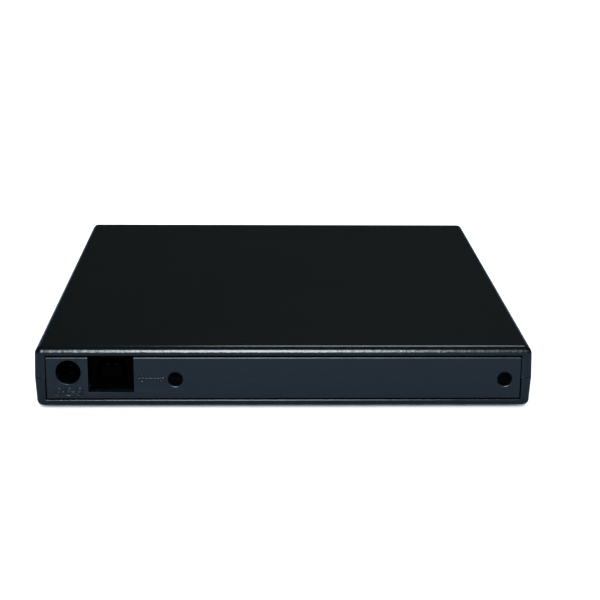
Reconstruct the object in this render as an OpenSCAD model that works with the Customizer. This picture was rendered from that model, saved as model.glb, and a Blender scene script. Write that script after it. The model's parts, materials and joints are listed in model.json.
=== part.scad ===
// Slim external optical drive: two moulded covers around a 12.7 mm tray-load drive.
// The frame is in millimetres with +Z up. The origin is under the middle of the case,
// on the surface that the feet stand on. The tray opens towards -Y.
// The sockets are in the rear panel, towards +Y.

/* [Enclosure] */
// Width of the case at its parting line
case_w = 140; // [139.8:0.1:141]
// Depth of the case from its front edge to its rear edge
case_d = 146; // [146:0.1:147]
// Height of both covers together, without the feet
case_h = 17.7; // [17.6:0.05:18]
// Height of the parting line above the underside
parting_h = 8.65; // [8.5:0.05:8.8]
// Thickness of the large top and bottom walls
wall_t = 1.6; // [1.5:0.05:1.7]
// Thickness of the side walls at the parting line
side_t = 2; // [1.8:0.1:2.2]
// Radius of the long upper edges
top_edge_r = 2.2; // [1.6:0.1:2.4]
// Radius of the upper edge over the rear panel
rear_edge_r = 2; // [1.4:0.1:2.2]
// Radius of the lower edges
bottom_edge_r = 1.5; // [1:0.1:1.6]
// Radius of the vertical corners
corner_r = 2; // [1.5:0.1:2.5]
// Draft of the upper cover's sides in degrees
top_draft = 2.3; // [1.5:0.1:2.8]
// Draft of the lower cover's sides in degrees
bottom_draft = 3.5; // [2:0.1:3.8]

/* [Feet] */
// Height that a rubber foot stands proud of the underside
foot_h = 0.7; // [0.6:0.05:0.9]
// Diameter of a rubber foot
foot_d = 9; // [7:0.5:10]
// Distance of each foot from the centre line, across the case
foot_x = 57; // [52:1:60]
// Distance of each foot from the centre line, along the case
foot_y = 62; // [58:1:63]

/* [Rear panel] */
// Distance from the side of the case to the panel opening
panel_inset = 3.05; // [2.95:0.05:3.1]
// Gap all round the panel
panel_gap = 0.35; // [0.3:0.05:0.4]
// How much further the upper cover closes in on the panel's ends
upper_inset = 0.15; // [0.1:0.05:0.2]
// Height of the panel opening's lower edge above the underside
panel_low = 2.2; // [2.1:0.05:2.3]
// Height of the panel opening's upper edge above the underside
panel_high = 15.05; // [14.95:0.05:15.1]
// Thickness of the panel
panel_t = 2; // [1.8:0.1:2.1]
// Distance of the DC inlet from the centre line
dc_x = 60.5; // [60.4:0.1:60.7]
// Height of the DC inlet above the underside
dc_h = 10.25; // [10.15:0.05:10.35]
// Diameter of the DC inlet hole
dc_d = 7.1; // [6.8:0.1:7.3]
// Distance of the USB socket from the centre line
usb_x = 48.6; // [48.5:0.1:48.8]
// Width of the notch for the USB socket
usb_notch_w = 12.8; // [12.6:0.1:12.9]
// Height of the notch's lower edge above the underside
usb_notch_low = 4.35; // [4.25:0.05:4.4]
// Distance of the panel screw near the USB socket from the centre line
near_screw_x = 30.6; // [30.2:0.1:30.8]
// Distance of the panel screw at the far end from the centre line
far_screw_x = 62.2; // [62:0.1:62.4]
// Height of both panel screws above the underside
panel_screw_h = 8.15; // [8:0.05:8.3]
// Diameter of the recess around a panel screw's head
screw_recess_d = 4; // [3.9:0.05:4.2]
// How far the symbols stand proud of the panel
symbol_t = 0.25; // [0.2:0.05:0.3]
// Height of the power symbol's middle above the underside
polarity_h = 4.45; // [4.3:0.05:4.6]
// Height of the data symbol's middle above the underside
data_h = 8.5; // [8.3:0.05:8.7]
// Distance of the data symbol from the centre line
data_x = 37.3; // [37.1:0.1:37.4]

/* [Drive] */
// Width of the drive
drive_w = 128; // [127.8:0.1:128.2]
// Height of the drive
drive_h = 12.7; // [12.7:0.05:12.8]
// Thickness of the drive's steel sheet
sheet_t = 0.8; // [0.7:0.05:0.8]
// Travel of the tray from shut to open
tray_travel = 124; // [110:1:124]
// Diameter of the disc that the tray holds
disc_d = 120; // [120:0.1:120.4]
// Angle of the pickup's path, from +X
deck_angle = -135; // [-136:0.5:-134]
// Radius of the disc hub
hub_r = 7.4; // [7.3:0.05:7.45]

/* [Hidden] */
$fn = 48;

// Levels and faces of the enclosure
base_z = foot_h;
top_z = base_z + case_h;
split_z = base_z + parting_h;
half_w = case_w / 2;
rear_y = case_d / 2;
front_y = -rear_y;
floor_z = base_z + wall_t;
ceiling_z = top_z - wall_t;
cavity_rear_y = rear_y - 2.6;
cavity_front_y = front_y + 2.5;
cavity_half = half_w - side_t;
panel_half = half_w - panel_inset;
panel_low_z = base_z + panel_low;
panel_high_z = base_z + panel_high;
panel_face_y = rear_y - 0.3;
panel_back_y = panel_face_y - panel_t;

// Levels and faces of the drive
drive_low_z = base_z + (case_h - drive_h) / 2;
drive_top_z = drive_low_z + drive_h;
drive_half = drive_w / 2;
chassis_front_y = front_y + 5.3;
chassis_rear_y = chassis_front_y + 125.7;
chassis_floor_z = drive_low_z + sheet_t;
cover_low_z = drive_top_z - sheet_t;
chassis_wall_x = drive_half - sheet_t;
opening_gap = 0.35;
bezel_face_y = front_y + 0.2;
tray_front_y = chassis_front_y - 0.3;
tray_rear_y = tray_front_y + 112;
tray_low_z = drive_low_z + 1.4;
wing_low_z = drive_low_z + 6.8;
recess_z = wing_low_z + 1;
tray_top_z = drive_low_z + 10.3;
disc_z = recess_z + 0.9;
tray_body_x = chassis_wall_x - 3.4;
tray_inner_x = tray_body_x - 3.3;
tray_wing_x = chassis_wall_x - 0.6;
tray_front_wall_t = 1.5;
spindle_y = tray_front_y + 62;

// Telescopic rails
guide_inner_x = tray_body_x + 0.3;
rail_outer_x = guide_inner_x + 1.75;
rail_inner_x = tray_body_x - 1.45;
rail_low_z = drive_low_z + 2.3;
rail_high_z = rail_low_z + 2.9;
rail_front_y = chassis_front_y + 1.7;
rail_length = 110;
rail_play = 0.1;

// Bridge board behind the drive
board_low_z = base_z + 2.7;
board_top_z = board_low_z + 1.2;
board_front_y = chassis_rear_y + 0.8;
board_rear_y = cavity_rear_y - 0.2;
board_mid_y = (board_front_y + board_rear_y) / 2;
socket_face_y = board_rear_y;
connector_left_x = -23;
connector_right_x = 7;
case_screw_y = rear_y - 6.2;
case_screw_x = [-45, 23.5];
board_screw_x = [-27, 37.4];
drive_screw_x = 45;
drive_screw_y = 36;
cover_screw_x = chassis_wall_x - 2;
cover_screw_y = [chassis_front_y + 8, 0, chassis_rear_y - 8];

// Data socket on the bridge board
usb_half_w = 6;
usb_top_z = board_top_z + 10.8;
usb_mid_z = (board_top_z + usb_top_z) / 2;
usb_wall = 0.4;
usb_mouth_half = 4.3;
usb_mouth_low = usb_mid_z - 3.95;
usb_mouth_high = usb_mid_z + 3.95;
usb_mouth_cut = 1.8;
usb_throat_y = socket_face_y - 9;

// Power jack on the bridge board
dc_z = base_z + dc_h;
jack_half = 4.5;
jack_front_y = board_front_y + 0.2;
jack_bore_r = 3.2;
jack_pin_r = 1;

// Flat cable: one run lies on the chassis and the other is under the tray
cable_x = 12;
cable_w = 20;
cable_t = 0.15;

// Pickup deck, in its own frame: along the pickup's path and across it
deck_plate_z = drive_low_z + 2;
deck_top_z = deck_plate_z + 0.8;
rod_z = deck_top_z + 1.5;
rod_offset = 12;
rod_r = 1;
screw_offset = 16.6;
screw_z = rod_z + 0.3;
screw_r = 1.1;
deck_cover_z = wing_low_z + 0.1;
deck_inner_u = -16;
deck_outer_u = 66.5;
lens_u = 23.5;
damper_spots = [[-12, -11.5], [-12, 13.5], [53, -16.3], [52, 21.4]];
window_low_v = -14;
window_high_v = 18.2;
lens_holder_low = deck_plate_z + 3.4;
lens_holder_high = lens_holder_low + 1.5;

// Spindle motor and hub
shaft_r = 1;
rotor_r = 12.3;
turntable_r = 14.5;
table_z = disc_z - 0.9;
pawl_inner_r = 4.4;
pawl_half = 1.2;
pawl_low_z = disc_z + 0.85;
pawl_high_z = disc_z + 1.7;

// Latch and ejector
latch_post_x = 53;
latch_post_y = chassis_front_y + 7.7;
latch_pivot_x = 50;
latch_pivot_y = latch_post_y + 15;
latch_z = drive_low_z + 2;
latch_t = 1.2;
plunger_x = 36;
plunger_z = drive_low_z + 4.6;
plunger_r = 1.6;
plunger_length = 30;
plunger_front_y = chassis_rear_y - 1 - plunger_length;

// Button and lamp in the bezel
button_x = 42;
button_z = drive_low_z + 4.2;
button_w = 11;
button_h = 3.8;
button_travel = 0.6;
lamp_x = 30;
pinhole_x = 51.2;
pinhole_z = latch_z + latch_t / 2;
stem_r = 1;
clip_x = [-50, -16, 16, 56];
clip_z = tray_low_z + 7;
clip_half = 3;

// Running clearance between a shaft and its bore
running_fit = 0.05;
// Overshoot of a cutting shape past the face that it cuts
over = 1;

// Points along an arc from one angle to another
function arc_points(x, y, r, from, to, steps = 8) =
    [for (i = [0:steps])
        let (a = from + (to - from) * i / steps)
        [x + r * cos(a), y + r * sin(a)]];

// Outline that narrows upwards from its base and has rounded top corners
function crowned(half, low, high, draft, r) =
    let (high_half = half - (high - low) * tan(draft))
    concat([[-half, low], [half, low]],
        arc_points(high_half - r, high - r, r, draft, 90),
        arc_points(r - high_half, high - r, r, 90, 180 - draft));

// The same outline upside down: it narrows downwards from its upper edge
function keeled(half, low, high, draft, r) =
    [for (p = crowned(half, -high, -low, draft, r)) [p.x, -p.y]];

// Rectangle with rounded corners about the origin
function rounded(w, d, r) =
    concat(arc_points(w / 2 - r, d / 2 - r, r, 0, 90),
        arc_points(r - w / 2, d / 2 - r, r, 90, 180),
        arc_points(r - w / 2, r - d / 2, r, 180, 270),
        arc_points(w / 2 - r, r - d / 2, r, 270, 360));

// Box between two opposite corners
module span(from, to) {
    translate(from) cube(to - from);
}

// Extrusion along Y of an outline drawn in X and Z
module along(from, to) {
    translate([0, to, 0]) rotate([90, 0, 0]) linear_extrude(to - from) children();
}

// Extrusion along X of an outline drawn in Y and Z
module across(from, to) {
    translate([from, 0, 0]) rotate([90, 0, 90]) linear_extrude(to - from) children();
}

// Upright cylinder
module post(x, y, low, high, r) {
    translate([x, y, low]) cylinder(h = high - low, r = r);
}

// Cylinder along Y
module bar(x, z, from, to, r) {
    translate([x, from, z]) rotate([-90, 0, 0]) cylinder(h = to - from, r = r);
}

// Cylinder along X
module cross_bar(y, z, from, to, r) {
    translate([from, y, z]) rotate([0, 90, 0]) cylinder(h = to - from, r = r);
}

// Two copies, one on each side of the centre line
module both_sides() {
    for (side = [0, 1]) mirror([side, 0, 0]) children();
}

// Places children in the frame of the pickup deck, centred on the spindle
module on_deck() {
    translate([0, spindle_y, 0]) rotate([0, 0, deck_angle]) children();
}

// Space inside the tray for the deck
module deck_bay(low, high, gap = 0.3) {
    x = tray_inner_x - gap;
    y = tray_front_y + tray_front_wall_t + gap;
    span([-x, y, low], [x, tray_rear_y - 3 - gap, high]);
}

// Pan-head screw upright, its head below its shank
module screw_up(head_r, head_h, shank_r, shank_h) {
    difference() {
        cylinder(h = head_h, r = head_r);
        for (turn = [0, 90]) {
            rotate([0, 0, turn]) translate([-head_r * 0.6, -0.2, -over])
                cube([head_r * 1.2, 0.4, over + head_h * 0.5]);
        }
    }
    translate([0, 0, head_h]) cylinder(h = shank_h, r = shank_r);
}

// Outer form of the upper cover
module upper_form() {
    intersection() {
        along(front_y, rear_y)
            polygon(crowned(half_w, split_z, top_z, top_draft, top_edge_r));
        across(-half_w, half_w)
            polygon(crowned(rear_y, split_z, top_z, 0, rear_edge_r));
        translate([0, 0, split_z]) linear_extrude(top_z - split_z)
            polygon(rounded(case_w, case_d, corner_r));
    }
}

// Outer form of the lower cover
module lower_form() {
    intersection() {
        along(front_y, rear_y)
            polygon(keeled(half_w, base_z, split_z, bottom_draft, bottom_edge_r));
        across(-half_w, half_w)
            polygon(keeled(rear_y, base_z, split_z, 0, bottom_edge_r));
        translate([0, 0, base_z]) linear_extrude(split_z - base_z)
            polygon(rounded(case_w, case_d, corner_r));
    }
}

// Opening for the drive in the front and for the panel in the rear
module case_openings(rear_half) {
    front_half = drive_half + opening_gap;
    span([-front_half, front_y - over, drive_low_z - opening_gap],
        [front_half, cavity_front_y + over, drive_top_z + opening_gap]);
    span([-rear_half, cavity_rear_y - over, panel_low_z],
        [rear_half, rear_y + over, panel_high_z]);
}

// Block behind the rear panel that takes a panel screw
module panel_boss(x) {
    screw_z = base_z + panel_screw_h;
    boss_rear_y = panel_back_y - 1.5;
    difference() {
        span([x - 3, boss_rear_y - 5.5, screw_z - 3], [x + 3, boss_rear_y, ceiling_z + 0.5]);
        bar(x, screw_z, boss_rear_y - 5, boss_rear_y + over, 1);
    }
}

module top_cover() {
    color([0.09, 0.11, 0.115]) {
        difference() {
            upper_form();
            along(cavity_front_y, cavity_rear_y)
                polygon(crowned(cavity_half, split_z - over, ceiling_z, top_draft, 0.8));
            case_openings(panel_half - upper_inset);
        }
        panel_boss(near_screw_x);
        panel_boss(-far_screw_x);
        for (x = case_screw_x) {
            difference() {
                post(x, case_screw_y, floor_z, ceiling_z + 0.5, 2.5);
                post(x, case_screw_y, floor_z - over, floor_z + 7, 1);
            }
        }
        both_sides() span([drive_half - 12, -40, drive_top_z + 0.1],
            [drive_half - 11, 40, ceiling_z + 0.5]);
    }
}

module bottom_cover() {
    lip_x = cavity_half - 1.2;
    lip_end_y = cavity_rear_y - 4;
    color([0.09, 0.11, 0.115]) {
        difference() {
            union() {
                difference() {
                    lower_form();
                    along(cavity_front_y, cavity_rear_y)
                        polygon(keeled(cavity_half, floor_z, split_z + over, bottom_draft, 0.8));
                    case_openings(panel_half);
                }
                both_sides() {
                    span([lip_x, cavity_front_y + 6, split_z - 2],
                        [lip_x + 1, lip_end_y, split_z + 1.2]);
                    span([lip_x, cavity_front_y + 6, split_z - 2],
                        [cavity_half + 0.4, lip_end_y, split_z]);
                }
                for (x = board_screw_x) post(x, board_mid_y, floor_z - 0.5, board_low_z, 2.4);
                both_sides() {
                    post(drive_screw_x, drive_screw_y, floor_z - 0.5, drive_low_z, 4);
                    post(drive_screw_x, -drive_screw_y, floor_z - 0.5, drive_low_z, 4);
                }
            }
            for (x = case_screw_x) {
                post(x, case_screw_y, base_z - over, base_z + 0.8, 2.2);
                post(x, case_screw_y, base_z, floor_z + over, 1.1);
            }
            for (x = board_screw_x) post(x, board_mid_y, base_z + 0.4, board_top_z, 1);
            both_sides() {
                post(drive_screw_x, drive_screw_y, base_z - over, base_z + 0.9, 2.2);
                post(drive_screw_x, drive_screw_y, base_z, drive_low_z + over, 1.1);
            }
            for (x = [-foot_x, foot_x], y = [-foot_y, foot_y]) {
                post(x, y, base_z - over, base_z + 0.5, foot_d / 2);
            }
        }
    }
}

// Ring that lies flat against the rear panel
module panel_ring(x, z, r, line) {
    along(panel_face_y, panel_face_y + symbol_t) difference() {
        translate([x, z]) circle(r = r);
        translate([x, z]) circle(r = r - line);
    }
}

// Flat mark on the rear panel between two corners
module panel_mark(from, to) {
    span([from.x, panel_face_y - 0.1, from.y], [to.x, panel_face_y + symbol_t, to.y]);
}

// Polarity symbol under the DC inlet: centre contact positive
module polarity_symbol() {
    x = dc_x;
    z = base_z + polarity_h;
    line = 0.36;
    ring_r = 1.25;
    end_x = 3;
    panel_ring(x + end_x, z, ring_r, line);
    panel_ring(x - end_x, z, ring_r, line);
    panel_mark([x + end_x - 0.7, z - line / 2], [x + end_x + 0.7, z + line / 2]);
    panel_mark([x - end_x - 0.7, z - line / 2], [x - end_x + 0.7, z + line / 2]);
    panel_mark([x - end_x - line / 2, z - 0.7], [x - end_x + line / 2, z + 0.7]);
    difference() {
        panel_ring(x + 0.1, z, 1.3, line);
        span([x - 3, panel_face_y - over, z - 0.8], [x - 0.5, panel_face_y + over, z + 0.8]);
    }
    bar(x, z, panel_face_y - 0.1, panel_face_y + symbol_t, 0.5);
    panel_mark([x - end_x + ring_r - 0.1, z - line / 2], [x, z + line / 2]);
    panel_mark([x + 1.2, z - line / 2], [x + end_x - ring_r + 0.1, z + line / 2]);
}

// Two opposed arrows beside the USB socket: data in and out
module data_symbol() {
    x = data_x;
    z = base_z + data_h;
    line = 0.4;
    for (turn = [0, 180]) {
        translate([x, 0, z]) rotate([0, turn, 0]) translate([-x, 0, -z]) {
            panel_mark([x - 3.6, z + 0.75], [x + 2.2, z + 0.75 + line]);
            along(panel_face_y, panel_face_y + symbol_t)
                polygon([[x + 2, z + 0.05], [x + 3.8, z + 0.95], [x + 2, z + 1.85]]);
        }
    }
}

module rear_panel() {
    half = panel_half - panel_gap;
    low = panel_low_z + panel_gap;
    high = panel_high_z - panel_gap;
    screw_z = base_z + panel_screw_h;
    usb_half = usb_notch_w / 2;
    color([0.15, 0.19, 0.22]) {
        difference() {
            union() {
                span([-half, panel_back_y, low], [half, panel_face_y, high]);
                for (x = [near_screw_x, -far_screw_x]) {
                    bar(x, screw_z, panel_back_y - 1.4, panel_face_y, 3);
                }
            }
            bar(dc_x, base_z + dc_h, panel_back_y - over, panel_face_y + over, dc_d / 2);
            span([usb_x - usb_half, panel_back_y - over, base_z + usb_notch_low],
                [usb_x + usb_half, panel_face_y + over, high + over]);
            for (x = [near_screw_x, -far_screw_x]) {
                bar(x, screw_z, panel_back_y - 0.2, panel_face_y + over, screw_recess_d / 2);
                bar(x, screw_z, panel_back_y - 2, panel_face_y, 1.1);
            }
        }
        polarity_symbol();
        data_symbol();
    }
}

module rear_panel_screws() {
    color([0.06, 0.06, 0.07]) {
        for (x = [near_screw_x, -far_screw_x]) {
            translate([x, panel_back_y + 0.8, base_z + panel_screw_h]) rotate([90, 0, 0])
                screw_up(1.8, 1, 0.98, 5.5);
        }
    }
}

module case_screws() {
    color([0.2, 0.2, 0.21]) {
        for (x = case_screw_x) {
            translate([x, case_screw_y, base_z + 0.1]) screw_up(1.9, 0.7, 0.98, 7);
        }
    }
}

module foot(x, y) {
    color([0.05, 0.05, 0.05]) translate([x, y, 0]) rotate_extrude()
        polygon([[0, 0], [foot_d / 2 - 0.7, 0], [foot_d / 2 - 0.3, 0.3],
            [foot_d / 2 - 0.2, base_z + 0.5], [0, base_z + 0.5]]);
}

module foot_front_left() { foot(-foot_x, -foot_y); }
module foot_front_right() { foot(foot_x, -foot_y); }
module foot_rear_left() { foot(-foot_x, foot_y); }
module foot_rear_right() { foot(foot_x, foot_y); }

module bridge_board() {
    color([0.05, 0.3, 0.16]) difference() {
        span([-31, board_front_y, board_low_z], [cavity_half - 1.7, board_rear_y, board_top_z]);
        span([case_screw_x[1] - 3, case_screw_y - 3, board_low_z - over],
            [case_screw_x[1] + 3, board_rear_y + over, board_top_z + over]);
        for (x = board_screw_x) post(x, board_mid_y, board_low_z - over, board_top_z + over, 1.1);
    }
}

module board_screws() {
    color("silver") for (x = board_screw_x) {
        translate([x, board_mid_y, board_top_z + 0.8]) rotate([180, 0, 0])
            screw_up(1.8, 0.8, 0.98, 3);
    }
}

// Flat-pack chip with a row of leads on each side
module chip(x, y, z, size, height, leads) {
    pitch = size * 0.86 / leads;
    translate([x, y, z]) {
        translate([-size / 2, -size / 2, 0.1]) cube([size, size, height]);
        for (turn = [0, 90, 180, 270], i = [0:leads - 1]) {
            rotate([0, 0, turn]) translate([(i - (leads - 1) / 2) * pitch - pitch / 4, size / 2 - 0.1, 0])
                cube([pitch / 2, 1, 0.25]);
        }
    }
}

module bridge_chip() {
    color([0.08, 0.08, 0.08]) chip(14, board_mid_y - 0.6, board_top_z, 6.4, 1.1, 8);
}

module board_crystal() {
    color("silver") translate([18.4, board_front_y + 1, board_top_z]) {
        span([-0.2, 0, 0], [4.8, 2.4, 0.3]);
        span([0, 0.2, 0.3], [4.6, 2.2, 1.9]);
    }
}

module board_capacitors() {
    color([0.75, 0.76, 0.78]) for (x = [28.6, 33.2]) {
        post(x, board_front_y + 2.6, board_top_z, board_top_z + 5, 2);
        translate([x - 2.2, board_front_y + 0.4, board_top_z]) cube([4.4, 4.4, 0.5]);
    }
}

module voltage_regulator() {
    color([0.1, 0.1, 0.1]) translate([-18, board_rear_y - 6.2, board_top_z]) {
        span([-3.2, 0, 0.1], [3.2, 3.4, 1.7]);
        for (x = [-2.3, 0, 2.3]) span([x - 0.4, -1.4, 0], [x + 0.4, 0.1, 0.3]);
        span([-1.5, 3.3, 0], [1.5, 4.8, 0.3]);
    }
}

module host_connector() {
    tongue_z = drive_low_z + 4.1;
    color([0.1, 0.1, 0.11]) {
        span([connector_left_x, board_front_y - 0.2, board_top_z],
            [connector_right_x, board_front_y + 3.4, drive_low_z + 6]);
        span([connector_left_x + 1.2, chassis_rear_y - 3.2, tongue_z],
            [connector_right_x - 1.2, board_front_y, tongue_z + 0.9]);
    }
}

// The socket stands on the board with its open end behind the panel's notch
module usb_shell() {
    color([0.12, 0.12, 0.13]) difference() {
        span([usb_x - usb_half_w, board_front_y, board_top_z],
            [usb_x + usb_half_w, socket_face_y, usb_top_z]);
        span([usb_x - usb_half_w + usb_wall, board_front_y + usb_wall, board_top_z + usb_wall],
            [usb_x + usb_half_w - usb_wall, socket_face_y + over, usb_top_z - usb_wall]);
    }
}

module usb_core() {
    inner = usb_half_w - usb_wall - 0.05;
    color([0.08, 0.08, 0.08]) {
        difference() {
            span([usb_x - inner, board_front_y + usb_wall, board_top_z + usb_wall],
                [usb_x + inner, socket_face_y - 0.2, usb_top_z - usb_wall]);
            along(usb_throat_y, socket_face_y + over) polygon([
                [usb_x - usb_mouth_half, usb_mouth_low],
                [usb_x + usb_mouth_half, usb_mouth_low],
                [usb_x + usb_mouth_half, usb_mouth_high - usb_mouth_cut],
                [usb_x + usb_mouth_half - usb_mouth_cut, usb_mouth_high],
                [usb_x - usb_mouth_half + usb_mouth_cut, usb_mouth_high],
                [usb_x - usb_mouth_half, usb_mouth_high - usb_mouth_cut]
            ]);
        }
        span([usb_x - 2.8, usb_throat_y - 0.1, usb_mid_z - 1.6],
            [usb_x + 2.8, socket_face_y - 1.2, usb_mid_z + 1.6]);
    }
}

module usb_contacts() {
    color([0.8, 0.65, 0.25]) for (x = [-1.25, 1.25], z = [-1.75, 1.6]) {
        translate([usb_x + x - 0.5, usb_throat_y, usb_mid_z + z]) cube([1, 6.6, 0.15]);
    }
}

module dc_jack_body() {
    color([0.03, 0.03, 0.03]) difference() {
        span([dc_x - jack_half, jack_front_y, board_top_z],
            [dc_x + jack_half, socket_face_y, dc_z + 4.8]);
        bar(dc_x, dc_z, jack_front_y + 1.6, socket_face_y + over, jack_bore_r);
        bar(dc_x, dc_z, jack_front_y - over, jack_front_y + 2, jack_pin_r + 0.02);
        span([dc_x - 0.8, jack_front_y + 2.6, board_top_z - over],
            [dc_x + 0.8, jack_front_y + 8, dc_z]);
    }
}

module dc_jack_pin() {
    color("silver") {
        bar(dc_x, dc_z, jack_front_y - 0.4, jack_front_y + 7.5, jack_pin_r);
        translate([dc_x, jack_front_y + 7.5, dc_z]) sphere(r = jack_pin_r);
    }
}

module dc_jack_spring() {
    color("silver") translate([dc_x - 0.6, 0, 0]) across(0, 1.2) polygon([
        [jack_front_y + 3, board_top_z + 0.1], [jack_front_y + 3.4, board_top_z + 0.1],
        [jack_front_y + 3.6, dc_z - 3.1], [jack_front_y + 7.6, dc_z - 2.7],
        [jack_front_y + 7.6, dc_z - 2.4], [jack_front_y + 3.3, dc_z - 2.8],
        [jack_front_y + 3, dc_z - 3]
    ]);
}

module drive_screws() {
    color("silver") both_sides() translate([drive_screw_x, drive_screw_y, base_z + 0.2])
        screw_up(1.9, 0.7, 0.98, 2.7);
}

module drive_chassis() {
    slot_z = drive_low_z + 1.2;
    color([0.72, 0.74, 0.76]) {
        difference() {
            span([-drive_half, chassis_front_y, drive_low_z], [drive_half, chassis_rear_y, cover_low_z]);
            span([-chassis_wall_x, chassis_front_y - over, chassis_floor_z],
                [chassis_wall_x, chassis_rear_y - sheet_t, cover_low_z + over]);
            span([connector_left_x - 1.5, chassis_rear_y - over - sheet_t, slot_z],
                [connector_right_x + 1.5, chassis_rear_y + over, drive_low_z + 7]);
            both_sides() post(drive_screw_x, drive_screw_y, drive_low_z - over,
                chassis_floor_z + over, 1);
        }
        both_sides() for (y = cover_screw_y) {
            difference() {
                span([chassis_wall_x - 4, y - 2.5, cover_low_z - 0.8],
                    [chassis_wall_x + 0.1, y + 2.5, cover_low_z]);
                post(cover_screw_x, y, cover_low_z - 2, cover_low_z + over, 0.8);
            }
        }
        post(latch_post_x, latch_post_y, chassis_floor_z - 0.1, latch_z + latch_t + 0.4, 1);
    }
}

module drive_cover() {
    color([0.75, 0.77, 0.79]) difference() {
        span([-drive_half, chassis_front_y, cover_low_z], [drive_half, chassis_rear_y, drive_top_z]);
        both_sides() for (y = cover_screw_y) {
            post(cover_screw_x, y, cover_low_z - over, drive_top_z + over, 0.85);
            post(cover_screw_x, y, drive_top_z - 0.4, drive_top_z + over, 1.6);
        }
    }
}

module drive_cover_screws() {
    color([0.3, 0.3, 0.32]) both_sides() for (y = cover_screw_y) {
        translate([cover_screw_x, y, drive_top_z]) rotate([180, 0, 0])
            screw_up(1.5, 0.4, 0.78, 1);
    }
}

module guide() {
    color([0.85, 0.85, 0.83]) difference() {
        span([guide_inner_x, chassis_front_y + 0.7, chassis_floor_z],
            [chassis_wall_x, chassis_front_y + 117.7, wing_low_z - 0.4]);
        span([guide_inner_x - over, chassis_front_y - over, rail_low_z - rail_play],
            [rail_outer_x + 0.15, chassis_rear_y, rail_high_z + rail_play]);
    }
}

module guide_left() { mirror([1, 0, 0]) guide(); }
module guide_right() { guide(); }

module drive_board() {
    color([0.05, 0.28, 0.14]) span([-58, tray_rear_y + 1.6, drive_low_z + 1.2],
        [58, chassis_rear_y - sheet_t - 0.4, drive_low_z + 2.2]);
}

module drive_chip() {
    color([0.08, 0.08, 0.08]) chip(18, tray_rear_y + 6.8, drive_low_z + 2.2, 7.5, 1.2, 10);
}

module drive_connector() {
    slot_z = drive_low_z + 4;
    color([0.1, 0.1, 0.11]) difference() {
        span([connector_left_x, chassis_rear_y - 6.6, drive_low_z + 2.2],
            [connector_right_x, chassis_rear_y - 0.2, drive_low_z + 6]);
        span([connector_left_x + 1, chassis_rear_y - 3.6, slot_z],
            [connector_right_x - 1, chassis_rear_y + over, slot_z + 1.1]);
    }
}

module flex_cable_fixed() {
    color([0.85, 0.86, 0.88]) span([cable_x, chassis_front_y + 3, chassis_floor_z + 0.05],
        [cable_x + cable_w, tray_rear_y + 5, chassis_floor_z + 0.05 + cable_t]);
}

module flex_cable_moving() {
    color([0.85, 0.86, 0.88]) span([cable_x, tray_front_y + 8, tray_low_z - 0.3],
        [cable_x + cable_w, tray_rear_y - 1, tray_low_z - 0.3 + cable_t]);
}

module rail() {
    color([0.6, 0.62, 0.64]) difference() {
        span([rail_inner_x, rail_front_y, rail_low_z],
            [rail_outer_x, rail_front_y + rail_length, rail_high_z]);
        span([rail_inner_x + 0.9, rail_front_y + 3, rail_low_z - over],
            [rail_outer_x - 0.9, rail_front_y + rail_length - 3, rail_low_z + 1.9]);
    }
}

module rail_left() { mirror([1, 0, 0]) rail(); }
module rail_right() { rail(); }

// Window in the tray over the deck, in the deck's own frame
module deck_window(grow, low, high) {
    on_deck() span([deck_inner_u - grow, window_low_v - grow, low],
        [deck_outer_u + grow, window_high_v + grow, high]);
}

module tray() {
    housing_x = 3.4;
    housing_front_y = plunger_front_y - 17;
    color([0.1, 0.1, 0.105]) {
        difference() {
            union() {
                difference() {
                    union() {
                        span([-tray_wing_x, tray_front_y, wing_low_z],
                            [tray_wing_x, tray_rear_y, tray_top_z]);
                        span([-tray_body_x, tray_front_y, tray_low_z],
                            [tray_body_x, tray_rear_y, wing_low_z + 0.1]);
                    }
                    span([-tray_inner_x, tray_front_y + tray_front_wall_t, tray_low_z - over],
                        [tray_inner_x, tray_rear_y - 3, wing_low_z]);
                    post(0, spindle_y, recess_z, tray_top_z + over, disc_d / 2 + 0.6);
                    intersection() {
                        deck_window(0.5, wing_low_z - over, tray_top_z + over);
                        deck_bay(wing_low_z - over, tray_top_z + over, 0.8);
                    }
                }
                span([plunger_x - housing_x, housing_front_y, plunger_z - 2.6],
                    [plunger_x + housing_x, tray_rear_y - 2.9, wing_low_z + 0.1]);
                post(latch_pivot_x, latch_pivot_y, latch_z + latch_t + 0.1, wing_low_z + 0.1, 2);
                post(latch_pivot_x, latch_pivot_y, latch_z - 0.2, wing_low_z, 1);
                on_deck() for (spot = damper_spots) {
                    post(spot.x, spot.y, deck_top_z + 0.7, wing_low_z + 0.1, 2.4);
                }
            }
            both_sides() span([rail_inner_x - 0.15, tray_front_y - over, rail_low_z - rail_play],
                [tray_body_x + over, tray_rear_y + over, rail_high_z + rail_play]);
            span([latch_post_x - 2.2, tray_rear_y - 4, tray_low_z - over],
                [latch_post_x + 2.2, tray_rear_y + over, latch_z + latch_t + 1.4]);
            bar(plunger_x, plunger_z, housing_front_y + 2, tray_rear_y + over,
                plunger_r + running_fit);
            on_deck() for (spot = damper_spots) {
                post(spot.x, spot.y, deck_top_z, deck_top_z + 3.2, 1);
            }
            bar(button_x, button_z, tray_front_y - over, tray_front_y + 3, stem_r + 0.3);
            bar(pinhole_x, pinhole_z, tray_front_y - over, tray_front_y + 3, 0.8);
            bar(lamp_x, button_z, tray_front_y - over, tray_front_y + 3, 0.9);
            for (x = clip_x) {
                span([x - clip_half - 0.1, tray_front_y - over, clip_z - 0.05],
                    [x + clip_half + 0.1, tray_front_y + 3, clip_z + 1.1]);
                span([x - clip_half - 0.1, tray_front_y + tray_front_wall_t, clip_z - 0.5],
                    [x + clip_half + 0.1, tray_front_y + 3, clip_z + 1.1]);
            }
        }
    }
}

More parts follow.
